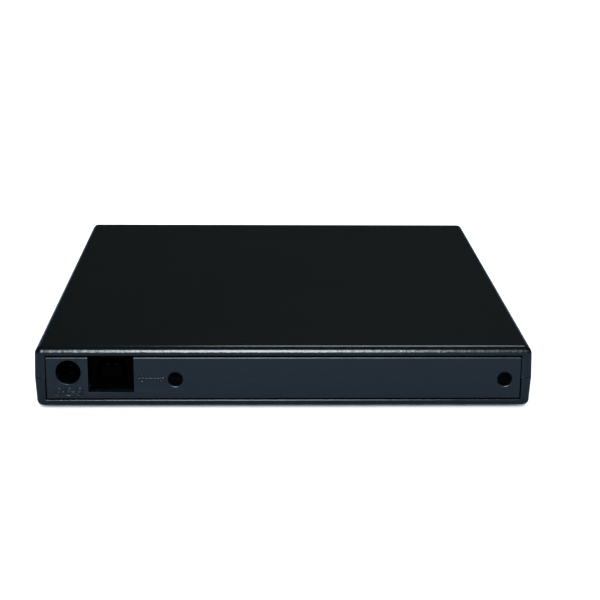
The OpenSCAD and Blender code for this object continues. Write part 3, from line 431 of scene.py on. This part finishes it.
def fillet(distance, radius):
    """How far a rounded edge has drawn in at a height above the start of its arc."""
    if distance <= 0:
        return 0.0
    return radius - math.sqrt(max(radius * radius - min(distance, radius) ** 2, 0.0))


def arc_steps(start, radius, count=10):
    """Heights along a quarter arc, closer together towards its end."""
    return [start + radius * math.sin(math.pi / 2 * i / count) for i in range(count + 1)]


def cover_rings(edge_z, end_z, draft, side_r, rear_r, side_t=0.0, rear_t=0.0):
    """Rings of a cover from its parting line to its flat face; with wall sizes, those of its inside."""
    sign = 1 if end_z > edge_z else -1
    height = abs(end_z - edge_z)
    climbs = sorted(set([0.0, PARTING_R, PARTING_H]
                        + arc_steps(height - side_r, side_r) + arc_steps(height - rear_r, rear_r)))
    rings = []
    for climb in climbs:
        rim = fillet(PARTING_R - climb, PARTING_R) if not side_t else 0.0
        in_x = climb * math.tan(draft) + fillet(climb - height + side_r, side_r) + side_t + rim
        in_y = fillet(climb - height + rear_r, rear_r) + rear_t + rim
        corner = max(CORNER_R - CORNER_TAPER * max(in_x, in_y), MIN_CORNER_R)
        rings.append(ring(half_w - in_x, rear_y - in_y, corner, edge_z + sign * climb))
    return rings


def flared_opening(bm, half_x, low_z, high_z, flare):
    """Cutter for the rear panel's opening: its upper lip is rounded under and its sill is eased."""
    inner_y, outer_y = cavity_rear_y - OVER, rear_y + OVER
    sill = [(rear_y - SILL_R + SILL_R * sine, low_z - SILL_R + SILL_R * cosine)
            for cosine, sine in quarter(15)]
    lip = [(rear_y - flare + flare * sine, high_z + flare - flare * cosine)
           for cosine, sine in quarter(15)]
    outline = ([(inner_y, low_z)] + sill + [(outer_y, low_z - SILL_R), (outer_y, high_z + flare)]
               + lip[::-1] + [(inner_y, high_z)])
    prism_x(bm, outline, -half_x, half_x)


def hollow(name, outer, inner):
    """Open-ended shell between an outer and an inner set of rings that start at one rim."""
    bm = bmesh.new()
    loft(bm, inner[::-1] + outer)
    return object_of(name, bm)


def cover_openings(side_gap, flare):
    """Cutter for the opening for the drive at the front and for the panel at the rear."""
    bm = bmesh.new()
    block(bm, (drive_low.x - GAP, -rear_y - OVER, drive_low.z - GAP),
          (drive_high.x + GAP, cavity_front_y + OVER, drive_top_z + GAP))
    flared_opening(bm, panel_high.x + side_gap, panel_low.z - GAP, panel_high.z + GAP, flare)
    return bm


# A screw's axis is its head's radius in from the box of all the screws of its kind.
CASE_SCREW_R, PANEL_SCREW_R = 1.9 * MM, 1.8 * MM
case_screw_low, case_screw_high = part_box("case_screws")
case_screw_y = (case_screw_low.y + case_screw_high.y) / 2
case_screw_x = (case_screw_low.x + CASE_SCREW_R, case_screw_high.x - CASE_SCREW_R)
panel_screw_low, panel_screw_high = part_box("rear_panel_screws")
panel_screw_z = (panel_screw_low.z + panel_screw_high.z) / 2
panel_screw_x = (panel_screw_low.x + PANEL_SCREW_R, panel_screw_high.x - PANEL_SCREW_R)


# ---------------------------------------------------------------- covers
def make_top_cover():
    """Upper shell with its draft, rounded edges, pillars and the bosses of the panel screws."""
    outer = cover_rings(split_z, top_z, TOP_DRAFT, TOP_R, REAR_R)
    inner = cover_rings(split_z, ceiling_z, TOP_DRAFT, INSIDE_R, INSIDE_R, SIDE_T, REAR_T)
    obj = hollow("top_cover_skin", outer, inner)
    combine(obj, cover_openings(GAP - UPPER_INSET, LIP_FLARE))
    pillar_r, pilot_r, pillar_pilot, boss_pilot = 2.5 * MM, 1 * MM, 7 * MM, 5 * MM
    bm = bmesh.new()
    for x in case_screw_x:
        turned(bm, x, case_screw_y, [(pillar_r, floor_z), (pillar_r, ceiling_z + SUNK)])
    boss_half, boss_y, boss_depth = 3 * MM, panel_back_y - 1.5 * MM, 5.5 * MM
    for x in panel_screw_x:
        block(bm, (x - boss_half, boss_y - boss_depth, panel_screw_z - boss_half),
              (x + boss_half, boss_y, ceiling_z + SUNK))
    combine(obj, bm, "UNION")
    bm = bmesh.new()
    for x in case_screw_x:
        turned(bm, x, case_screw_y, [(pilot_r, floor_z - OVER), (pilot_r, floor_z + pillar_pilot)])
    for x in panel_screw_x:
        turned(bm, x, panel_screw_z, [(pilot_r, boss_y - boss_pilot), (pilot_r, boss_y + OVER)],
               axis="Y")
    combine(obj, bm)
    smooth(obj, 0.1 * MM)
    place(obj, "top_cover")


def make_bottom_cover():
    """Lower shell with its draft, locating lip, posts, counterbores and foot recesses."""
    outer = cover_rings(split_z, base_z, BOTTOM_DRAFT, BOTTOM_R, LOWER_REAR_R)
    inner = cover_rings(split_z, floor_z, BOTTOM_DRAFT, INSIDE_R, INSIDE_R, SIDE_T, REAR_T)
    obj = hollow("bottom_cover_skin", outer, inner)
    no_flare = 0.01 * MM
    combine(obj, cover_openings(GAP, no_flare))
    drive_screw_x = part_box("drive_screws")[1].x - CASE_SCREW_R
    drive_screw_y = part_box("drive_screws")[1].y - CASE_SCREW_R
    board_low, board_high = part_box("board_screws")
    board_y = (board_low.y + board_high.y) / 2
    board_x = (board_low.x + PANEL_SCREW_R, board_high.x - PANEL_SCREW_R)
    board_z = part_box("bridge_board")[0].z
    foot_low, foot_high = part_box("foot_rear_right")
    foot_x, foot_y = (foot_low.x + foot_high.x) / 2, (foot_low.y + foot_high.y) / 2
    drive_post_r, board_post_r, pilot_r = 4 * MM, 2.4 * MM, 1 * MM
    bore_r, clearance_r, foot_recess_r = 2.2 * MM, 1.1 * MM, 4.5 * MM
    case_bore_h, drive_bore_h, foot_recess_h, overlap = 0.8 * MM, 0.9 * MM, 0.5 * MM, 0.1 * MM
    lip_x, web_x = half_w - SIDE_T - LIP_H, half_w - SIDE_T + 0.3 * MM
    lip_front_y, lip_rear_y = cavity_front_y + 6 * MM, cavity_rear_y - 4 * MM
    lip_low_z = split_z - 2 * MM
    bm = bmesh.new()
    for sx in (-1, 1):
        for sy in (-1, 1):
            turned(bm, sx * drive_screw_x, sy * drive_screw_y,
                   [(drive_post_r, floor_z - SUNK), (drive_post_r, drive_low.z)])
        for end_x, end_z in ((lip_x + MM, split_z + LIP_H), (web_x, split_z - 0.1 * MM)):
            from_x, to_x = sorted((sx * lip_x, sx * end_x))
            block(bm, (from_x, lip_front_y, lip_low_z), (to_x, lip_rear_y, end_z))
    for x in board_x:
        turned(bm, x, board_y, [(board_post_r, floor_z - SUNK), (board_post_r, board_z)])
    combine(obj, bm, "UNION")
    bm = bmesh.new()
    for x in case_screw_x:
        turned(bm, x, case_screw_y, [(bore_r, base_z - OVER), (bore_r, base_z + case_bore_h)])
        turned(bm, x, case_screw_y,
               [(clearance_r, base_z + case_bore_h - overlap), (clearance_r, floor_z + OVER)])
    for sx in (-1, 1):
        turned(bm, sx * drive_screw_x, drive_screw_y,
               [(bore_r, base_z - OVER), (bore_r, base_z + drive_bore_h)])
        turned(bm, sx * drive_screw_x, drive_screw_y,
               [(clearance_r, base_z + drive_bore_h - overlap), (clearance_r, drive_low.z + OVER)])
        for sy in (-1, 1):
            turned(bm, sx * foot_x, sy * foot_y,
                   [(foot_recess_r, base_z - OVER), (foot_recess_r, base_z + foot_recess_h)])
    for x in board_x:
        turned(bm, x, board_y, [(pilot_r, base_z + 0.4 * MM), (pilot_r, board_z + OVER)])
    combine(obj, bm)
    smooth(obj, 0.1 * MM)
    place(obj, "bottom_cover")


# ---------------------------------------------------------------- rear panel and its symbols
def ridge(bm, corners, radius, closed=False, sides=12):
    """Round-backed, slightly uneven ridge on the rear panel along a path of (x, z) points."""
    pace, unevenness, phase_per_step, phase_per_metre = 0.2 * MM, 0.22, 0.9, 900
    out = Vector((0, 1, 0))
    points = []
    for i in range(len(corners) - (not closed)):
        here, there = Vector(corners[i]), Vector(corners[(i + 1) % len(corners)])
        count = max(round((there - here).length / pace), 1)
        points += [here.lerp(there, k / count) for k in range(count)]
    if not closed:
        points.append(Vector(corners[-1]))
    count = len(points)
    rings = []
    for i, (x, z) in enumerate(points):
        swell = radius * (1 + unevenness * math.sin(i * phase_per_step + x * phase_per_metre))
        before = points[i - 1] if closed or i else points[i]
        after = points[(i + 1) % count] if closed or i < count - 1 else points[i]
        along = Vector((after[0] - before[0], 0, after[1] - before[1])).normalized()
        across = along.cross(out)
        rings.append([Vector((x, panel_face_y, z)) + swell * (
            across * math.cos(2 * math.pi * k / sides) + out * math.sin(2 * math.pi * k / sides))
            for k in range(sides)])
    if closed:
        rows = loft(bm, rings, close=False)
        for k in range(sides):
            j = (k + 1) % sides
            bm.faces.new((rows[-1][k], rows[-1][j], rows[0][j], rows[0][k]))
    else:
        loft(bm, rings)


def arc(x, z, radius, start, end, count=20):
    """Points along an arc on the panel."""
    return [(x + radius * math.cos(math.radians(start + (end - start) * i / count)),
             z + radius * math.sin(math.radians(start + (end - start) * i / count)))
            for i in range(count + 1)]


def power_symbol(bm, x, z):
    """Centre-positive polarity sign: an open ring with a dot, between a ringed plus and minus."""
    line, ring_r, open_r, end_x = 0.23 * MM, 1.08 * MM, 1.12 * MM, 3 * MM
    bar, dot_r, dot_top_r, dot_side_h, dot_h = 0.55 * MM, 0.5 * MM, 0.36 * MM, 0.12 * MM, 0.2 * MM
    into_dot = 0.1 * MM
    for side in (-1, 1):
        ridge(bm, arc(x + side * end_x, z, ring_r, 0, 345, 23), line, closed=True)
        ridge(bm, [(x + side * end_x - bar, z), (x + side * end_x + bar, z)], line)
    ridge(bm, [(x - end_x, z - bar), (x - end_x, z + bar)], line)
    ridge(bm, arc(x, z, open_r, -130, 130), line)
    ridge(bm, [(x - end_x + ring_r, z), (x + into_dot, z)], line)
    ridge(bm, [(x + open_r, z), (x + end_x - ring_r, z)], line)
    turned(bm, x, z, [(dot_r, panel_face_y - dot_h), (dot_r, panel_face_y + dot_side_h),
                      (dot_top_r, panel_face_y + dot_h)], 24, "Y")


def data_symbol(bm, x, z):
    """Arrow with a head at both ends: data in and out."""
    line, reach, barb_x, barb_z = 0.28 * MM, 3.6 * MM, 1.3 * MM, 1.15 * MM
    ridge(bm, [(x - reach, z), (x + reach, z)], line)
    for side in (-1, 1):
        tip = x + side * reach
        root = tip - side * barb_x
        ridge(bm, [(root, z + barb_z), (tip, z), (root, z - barb_z)], line)


def rim_flare(radius, flare):
    """Rounded mouth of a hole in the panel's face, as the end of a cutter's profile."""
    curve = [(radius + flare * (1 - cosine), panel_face_y - flare * (1 - sine))
             for cosine, sine in quarter(15)]
    return curve + [(radius + flare, panel_face_y + OVER)]


def make_rear_panel():
    """Plate with the round power hole, the square notch, two deep screw recesses and the symbols."""
    brow_r, cup_r, recess_r, clearance_r = 0.38 * MM, 3 * MM, 2 * MM, 1.1 * MM
    cup_h, recess_h, clearance_h = 1.4 * MM, 0.2 * MM, 2 * MM
    power_hole_r, power_flare, recess_flare = 3.5 * MM, 0.15 * MM, 0.4 * MM
    notch_half, notch_low_z = 6.4 * MM, base_z + 4.35 * MM
    power_mark_z, data_mark_x, data_mark_z = base_z + 4.45 * MM, 37.3 * MM, base_z + 8.5 * MM
    brow = [(panel_face_y - brow_r + brow_r * cosine, panel_high.z - brow_r + brow_r * sine)
            for cosine, sine in quarter(9)]
    bm = bmesh.new()
    prism_x(bm, [(panel_back_y, panel_low.z), (panel_face_y, panel_low.z)] + brow
            + [(panel_back_y, panel_high.z)], panel_low.x, panel_high.x)
    obj = object_of("rear_panel_plate", bm)
    bm = bmesh.new()
    for x in panel_screw_x:
        turned(bm, x, panel_screw_z, [(cup_r, panel_back_y - cup_h), (cup_r, panel_back_y + OVER)],
               axis="Y")
    combine(obj, bm, "UNION")
    dc_x, _, dc_z = mounts["dc_inlet"]["pos_m"]
    usb_low, usb_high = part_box("usb_shell")
    usb_x = (usb_low.x + usb_high.x) / 2
    bm = bmesh.new()
    turned(bm, dc_x, dc_z,
           [(power_hole_r, panel_back_y - OVER)] + rim_flare(power_hole_r, power_flare), 72, "Y")
    block(bm, (usb_x - notch_half, panel_back_y - OVER, notch_low_z),
          (usb_x + notch_half, panel_face_y + OVER, panel_high.z + OVER))
    for x in panel_screw_x:
        turned(bm, x, panel_screw_z,
               [(recess_r, panel_back_y - recess_h)] + rim_flare(recess_r, recess_flare), axis="Y")
    combine(obj, bm)
    bm = bmesh.new()
    for x in panel_screw_x:
        turned(bm, x, panel_screw_z,
               [(clearance_r, panel_back_y - clearance_h), (clearance_r, panel_face_y)], axis="Y")
    combine(obj, bm)
    smooth(obj, 0.12 * MM)
    place(obj, "rear_panel")
    bm = bmesh.new()
    power_symbol(bm, dc_x, power_mark_z)
    data_symbol(bm, data_mark_x, data_mark_z)
    marks = object_of("rear_panel_symbols", bm)
    smooth(marks)
    dress(marks, "panel")
    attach(marks, body_of["rear_panel"])


# ---------------------------------------------------------------- front of the tray
CLIP_X = (-50 * MM, -16 * MM, 16 * MM, 56 * MM)


def make_bezel():
    """Front of the tray: rounded edges, openings for button, lamp and emergency pin, rear clips."""
    low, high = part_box("tray_bezel")
    back_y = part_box("tray")[0].y
    half_y = (back_y - low.y) / 2
    height = high.z - low.z
    edge_r, corner_r = 0.6 * MM, 0.9 * MM
    side_t, front_t, top_t = 1.6 * MM, 1.8 * MM, 1.4 * MM
    button_gap, lamp_gap = 0.3 * MM, 0.05 * MM
    bm = bmesh.new()
    rings = []
    low_climbs = [edge_r - climb for climb in arc_steps(0.0, edge_r, 6)]
    for climb in sorted(low_climbs + arc_steps(height - edge_r, edge_r, 6)):
        inset = fillet(edge_r - climb, edge_r) + fillet(climb - height + edge_r, edge_r)
        points = ring(high.x - inset, half_y - inset, corner_r - inset, low.z + climb)
        rings.append([point + Vector((0, low.y + half_y, 0)) for point in points])
    loft(bm, rings)
    obj = object_of("tray_bezel_front", bm)
    button_low, button_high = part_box("eject_button")
    lamp_low, lamp_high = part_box("led_window")
    through = low.y - OVER
    cuts = [((low.x + side_t, low.y + front_t, low.z + top_t),
             (high.x - side_t, back_y + OVER, high.z - top_t)),
            ((button_low.x - button_gap, through, button_low.z - button_gap),
             (button_high.x + button_gap, back_y, button_high.z + button_gap)),
            ((lamp_low.x - lamp_gap, through, lamp_low.z - lamp_gap),
             (lamp_high.x + lamp_gap, back_y, lamp_high.z + lamp_gap))]
    for cut in cuts:
        bm = bmesh.new()
        block(bm, *cut)
        combine(obj, bm)
    pin_x, pin_z, pin_r = 51.2 * MM, drive_low.z + 2.6 * MM, 0.65 * MM
    mouth_r, mouth_depth = 0.95 * MM, 0.3 * MM
    bm = bmesh.new()
    turned(bm, pin_x, pin_z, [(pin_r, back_y), (pin_r, low.y + mouth_depth), (mouth_r, low.y),
                              (mouth_r, through)], 32, "Y")
    combine(obj, bm)
    clip_half, clip_t, clip_z, clip_y = 3 * MM, 1 * MM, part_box("tray")[0].z + 7 * MM, low.y + 1.5 * MM
    hook_l, hook_drop = 0.35 * MM, 0.4 * MM
    bm = bmesh.new()
    for x in CLIP_X:
        block(bm, (x - clip_half, clip_y, clip_z), (x + clip_half, high.y, clip_z + clip_t))
        block(bm, (x - clip_half, high.y - hook_l, clip_z - hook_drop),
              (x + clip_half, high.y, clip_z + clip_t / 2))
    combine(obj, bm, "UNION")
    smooth(obj, 0.08 * MM)
    place(obj, "tray_bezel")


def make_eject_button():
    """Hollow button with soft edges and the stem that works the switch."""
    low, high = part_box("eject_button")
    cap_t, side_t, front_t, stem_r = 3 * MM, 0.9 * MM, 1.2 * MM, 1 * MM
    bm = bmesh.new()
    block(bm, low, (high.x, low.y + cap_t, high.z))
    obj = object_of("eject_button_cap", bm)
    bm = bmesh.new()
    block(bm, (low.x + side_t, low.y + front_t, low.z + side_t),
          (high.x - side_t, low.y + cap_t + OVER, high.z - side_t))
    combine(obj, bm)
    bm = bmesh.new()
    turned(bm, (low.x + high.x) / 2, (low.z + high.z) / 2,
           [(stem_r, low.y + 1 * MM), (stem_r, high.y)], 32, "Y")
    combine(obj, bm, "UNION")
    smooth(obj, 0.22 * MM, segments=4)
    place(obj, "eject_button")


def make_led_window():
    """Light pipe with a rounded face."""
    low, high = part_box("led_window")
    face_t, pipe_r = 2.2 * MM, 0.5 * MM
    bm = bmesh.new()
    block(bm, low, (high.x, low.y + face_t, high.z))
    obj = object_of("led_window_pipe", bm)
    bm = bmesh.new()
    turned(bm, (low.x + high.x) / 2, (low.z + high.z) / 2,
           [(pipe_r, low.y + face_t - 0.2 * MM), (pipe_r, high.y)], 24, "Y")
    combine(obj, bm, "UNION")
    smooth(obj, 0.14 * MM)
    place(obj, "led_window")


# ---------------------------------------------------------------- turntable, lens and feet
HUB_R = 7.4 * MM
PAWL_ROOT_R, PAWL_HALF = 4.4 * MM, 1.2 * MM


def spokes(low, high, centre, first=30):
    """Three equal blocks spaced round an upright axis, the first at an angle from +X."""
    bm = bmesh.new()
    for i in range(3):
        before = set(bm.verts)
        block(bm, low, high)
        fresh = [v for v in bm.verts if v not in before]
        bmesh.ops.rotate(bm, verts=fresh, cent=(0, 0, 0),
                         matrix=Matrix.Rotation(math.radians(first + 120 * i), 3, "Z"))
        bmesh.ops.translate(bm, verts=fresh, vec=(centre.x, centre.y, 0))
    return bm


def make_rotor():
    """Motor cup, turntable and hub in one turned piece with rounded edges and three pawl slots."""
    low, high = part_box("spindle_rotor")
    centre = (low + high) / 2
    table_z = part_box("turntable_ring")[0].z
    table_r, cup_r, cup_t, shaft_r = high.x - centre.x, 12.3 * MM, 0.8 * MM, 1 * MM
    rim_r, hub_edge, cove = 0.2 * MM, 0.8 * MM, 0.4 * MM
    cup_z, under_z = low.z + 0.9 * MM, table_z - 0.6 * MM
    rim = [(table_r - rim_r + rim_r * cosine, table_z - rim_r + rim_r * sine)
           for cosine, sine in quarter(30)]
    crown = [(HUB_R - hub_edge + hub_edge * cosine, high.z - hub_edge + hub_edge * sine)
             for cosine, sine in quarter(10)]
    dish = [(3.2 * MM, high.z), (2.9 * MM, high.z - 0.06 * MM), (2.2 * MM, high.z - 0.3 * MM),
            (1.6 * MM, high.z - 0.38 * MM), (0.3 * MM, high.z - 0.4 * MM)]
    bm = bmesh.new()
    turned(bm, centre.x, centre.y, [(cup_r, cup_z), (cup_r, under_z), (table_r, under_z)] + rim
           + [(HUB_R + cove, table_z), (HUB_R, table_z + cove)] + crown + dish, 96)
    obj = object_of("spindle_rotor_turned", bm)
    bm = bmesh.new()
    turned(bm, centre.x, centre.y, [(cup_r - cup_t, cup_z - OVER), (cup_r - cup_t, under_z - cup_t)], 64)
    combine(obj, bm)
    bm = bmesh.new()
    turned(bm, centre.x, centre.y, [(shaft_r, low.z), (shaft_r, under_z - 0.5 * MM)], 32)
    combine(obj, bm, "UNION")
    pawl_low, pawl_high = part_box("hub_pawls")
    slot_half, slot_gap = PAWL_HALF + 0.1 * MM, 0.05 * MM
    combine(obj, spokes((PAWL_ROOT_R, -slot_half, pawl_low.z - slot_gap),
                        (HUB_R + OVER, slot_half, pawl_high.z + slot_gap), centre))
    smooth(obj, 0.06 * MM)
    place(obj, "spindle_rotor")


def make_pawls():
    """Three spring fingers whose noses hold a disc."""
    low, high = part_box("hub_pawls")
    rotor_low, rotor_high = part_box("spindle_rotor")
    fingers = spokes((PAWL_ROOT_R, -PAWL_HALF, low.z), (HUB_R - 0.05 * MM, PAWL_HALF, high.z),
                     (rotor_low + rotor_high) / 2)
    obj = object_of("hub_pawls_fingers", fingers)
    smooth(obj, 0.3 * MM, segments=4)
    place(obj, "hub_pawls")


def make_turntable_ring():
    """Soft ring that the disc rests on, with a raised inner and outer lip."""
    low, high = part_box("turntable_ring")
    centre = (low + high) / 2
    outer, inner, edge, lip = high.x - centre.x, 11 * MM, 0.12 * MM, 0.5 * MM
    sink, slope = 0.06 * MM, 0.1 * MM
    bm = bmesh.new()
    turned(bm, centre.x, centre.y, [(outer, low.z), (outer, high.z - edge), (outer - edge, high.z),
                                    (outer - lip, high.z), (outer - lip - slope, high.z - sink),
                                    (inner + lip + slope, high.z - sink), (inner + lip, high.z),
                                    (inner - edge, high.z)], 96)
    obj = object_of("turntable_ring_soft", bm)
    bm = bmesh.new()
    turned(bm, centre.x, centre.y, [(inner, low.z - OVER), (inner, high.z + OVER)], 96)
    combine(obj, bm)
    smooth(obj)
    place(obj, "turntable_ring")


def make_foot(node):
    """Rubber foot with a rounded tread edge and a shallow dimple."""
    low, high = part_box(node)
    centre = (low + high) / 2
    radius, tread = high.x - centre.x, 0.5 * MM
    dimple = [(1.2 * MM, low.z + 0.2 * MM), (1.6 * MM, low.z)]
    curve = [(radius - tread + tread * sine, low.z + tread - tread * cosine)
             for cosine, sine in quarter(15)]
    bm = bmesh.new()
    turned(bm, centre.x, centre.y, dimple + curve + [(radius, high.z)], 64)
    obj = object_of(node + "_rubber", bm)
    smooth(obj, 0.05 * MM)
    place(obj, node)


def make_lens():
    """Plano-convex lens."""
    low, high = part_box("objective_lens")
    centre = (low + high) / 2
    radius, dome = high.x - centre.x, 0.9 * MM
    curve = [(radius * cosine, high.z - dome + dome * sine) for cosine, sine in quarter(9, 81)]
    bm = bmesh.new()
    turned(bm, centre.x, centre.y, [(radius, low.z)] + curve, 48)
    obj = object_of("objective_lens_dome", bm)
    smooth(obj, 0.03 * MM)
    place(obj, "objective_lens")


make_top_cover()
make_bottom_cover()
make_rear_panel()
make_bezel()
make_eject_button()
make_led_window()
make_rotor()
make_pawls()
make_turntable_ring()
make_lens()
for foot in ("foot_front_left", "foot_front_right", "foot_rear_left", "foot_rear_right"):
    make_foot(foot)


# ---------------------------------------------------------------- carried-over CAD nodes
def soften(obj, width):
    """Joins a CAD node's facets into whole faces, rounds its sharp edges and evens its shading."""
    weld = obj.modifiers.new("weld", "WELD")
    weld.merge_threshold = 0.002 * MM
    whole = obj.modifiers.new("whole", "DECIMATE")
    whole.decimate_type = "DISSOLVE"
    whole.angle_limit = math.radians(0.4)
    round_edges(obj, width, 40, 2)
    even_shading(obj)


for node, obj in frame["nodes"].items():
    if node not in made_nodes:
        dress(obj, slot_of[node])
        soften(obj, 0.12 * MM)


# ---------------------------------------------------------------- floor and light
def mix_shaders(tree, factor, first, second):
    """Mixes two shaders by a factor."""
    mix = tree.nodes.new("ShaderNodeMixShader")
    tree.links.new(factor, mix.inputs[0])
    tree.links.new(first.outputs[0], mix.inputs[1])
    tree.links.new(second.outputs[0], mix.inputs[2])
    return mix


# The floor as glossy surfaces see it is a painted reflection, dimmer and bluer than the floor: painted
# shade makes it darker in a strip under and beside the case.
FLOOR_IN_GLOSS = (0.135, 0.20, 0.285)
FLOOR_IN_SHADE = (0.07, 0.10, 0.13)
SHADE_X, SHADE_FRONT_Y, SHADE_REAR_Y = 0.13, -0.073, 0.070
WORLD_ON_TABLE = 1.5
WORLD_IN_GLOSS = 0.03


def floor_reflection(tree):
    """Shader of the floor for glossy rays: a painted reflection, with painted shade in the strip under
    and beside the case.
    """
    where = tree.nodes.new("ShaderNodeNewGeometry")
    axes = tree.nodes.new("ShaderNodeSeparateXYZ")
    tree.links.new(where.outputs["Position"], axes.inputs[0])
    aside = calculate(tree, "ABSOLUTE", axes.outputs["X"])
    behind = spread(tree, axes.outputs["Y"], 0.0, 1.0, SHADE_REAR_Y, SHADE_REAR_Y + 4 * MM)
    before = spread(tree, axes.outputs["Y"], 1.0, 0.0, SHADE_FRONT_Y - 9 * MM, SHADE_FRONT_Y)
    beside = spread(tree, aside, 0.0, 1.0, SHADE_X, SHADE_X + 50 * MM)
    lit = calculate(tree, "MAXIMUM", calculate(tree, "MAXIMUM", behind, before), beside)
    shader = node_of(tree, "ShaderNodeBsdfDiffuse")
    tree.links.new(blend_colour(tree, lit, FLOOR_IN_SHADE, FLOOR_IN_GLOSS), shader.inputs["Color"])
    return shader


def make_floor():
    """A pale table top, large enough to fill every view."""
    size = 1.5
    mesh = bpy.data.meshes.new("floor")
    mesh.from_pydata([(-size, -size, 0), (size, -size, 0), (size, size, 0), (-size, size, 0)],
                     [], [(0, 1, 2, 3)])
    floor = bpy.data.objects.new("floor", mesh)
    scene.collection.objects.link(floor)
    made, tree, shader = material("floor", specular=0.0)
    paper = spread(tree, noise(tree, 30, 3), 0.0, 1.0)
    tree.links.new(blend_colour(tree, paper, (0.87, 0.87, 0.87), (0.89, 0.89, 0.89)),
                   shader.inputs["Base Color"])
    shader.inputs["Roughness"].default_value = 0.8
    path = tree.nodes.new("ShaderNodeLightPath")
    # Glossy rays see the painted reflection, with its painted shade, instead of the pale floor.
    mix = mix_shaders(tree, path.outputs["Is Glossy Ray"], shader, floor_reflection(tree))
    tree.links.new(mix.outputs[0], tree.nodes["Material Output"].inputs["Surface"])
    mesh.materials.append(made)


def make_world():
    """White to the eye, bright on the table and dim in the gloss, so that black plastic stays black."""
    world = bpy.data.worlds.new("world")
    scene.world = world
    world.use_nodes = True
    tree = world.node_tree
    tree.nodes.clear()
    path = tree.nodes.new("ShaderNodeLightPath")
    seen = node_of(tree, "ShaderNodeBackground", Color=(1, 1, 1, 1), Strength=1.0)
    shed = node_of(tree, "ShaderNodeBackground", Color=(1, 1, 1, 1), Strength=WORLD_ON_TABLE)
    gloss = node_of(tree, "ShaderNodeBackground", Color=(0.8, 0.95, 1, 1), Strength=WORLD_IN_GLOSS)
    indirect = mix_shaders(tree, path.outputs["Is Glossy Ray"], shed, gloss)
    whole = mix_shaders(tree, path.outputs["Is Camera Ray"], indirect, seen)
    out = tree.nodes.new("ShaderNodeOutputWorld")
    tree.links.new(whole.outputs[0], out.inputs[0])


def soft_box(name, azimuth, elevation, width, height, power, colour=(1, 1, 1)):
    """A rectangular area light that faces the case; azimuth 0 is on the tray's side."""
    distance = 1.5
    a, e = math.radians(azimuth), math.radians(elevation)
    place_at = distance * Vector((math.sin(a) * math.cos(e), -math.cos(a) * math.cos(e), math.sin(e)))
    data = bpy.data.lights.new(name, "AREA")
    data.shape = "RECTANGLE"
    data.size, data.size_y = width, height
    data.energy = power
    data.color = colour
    light = bpy.data.objects.new(name, data)
    scene.collection.objects.link(light)
    light.location = place_at
    light.rotation_euler = (-place_at).to_track_quat("-Z", "Y").to_euler()


make_floor()
make_world()
soft_box("key", 178.7, 30, 0.38, 0.9, 25, (0.80, 0.90, 1.0))
soft_box("back", 351.5, 52, 0.45, 0.6, 4.0, (0.82, 0.92, 1.0))
soft_box("side", 222, 30, 0.9, 0.25, 1.5)
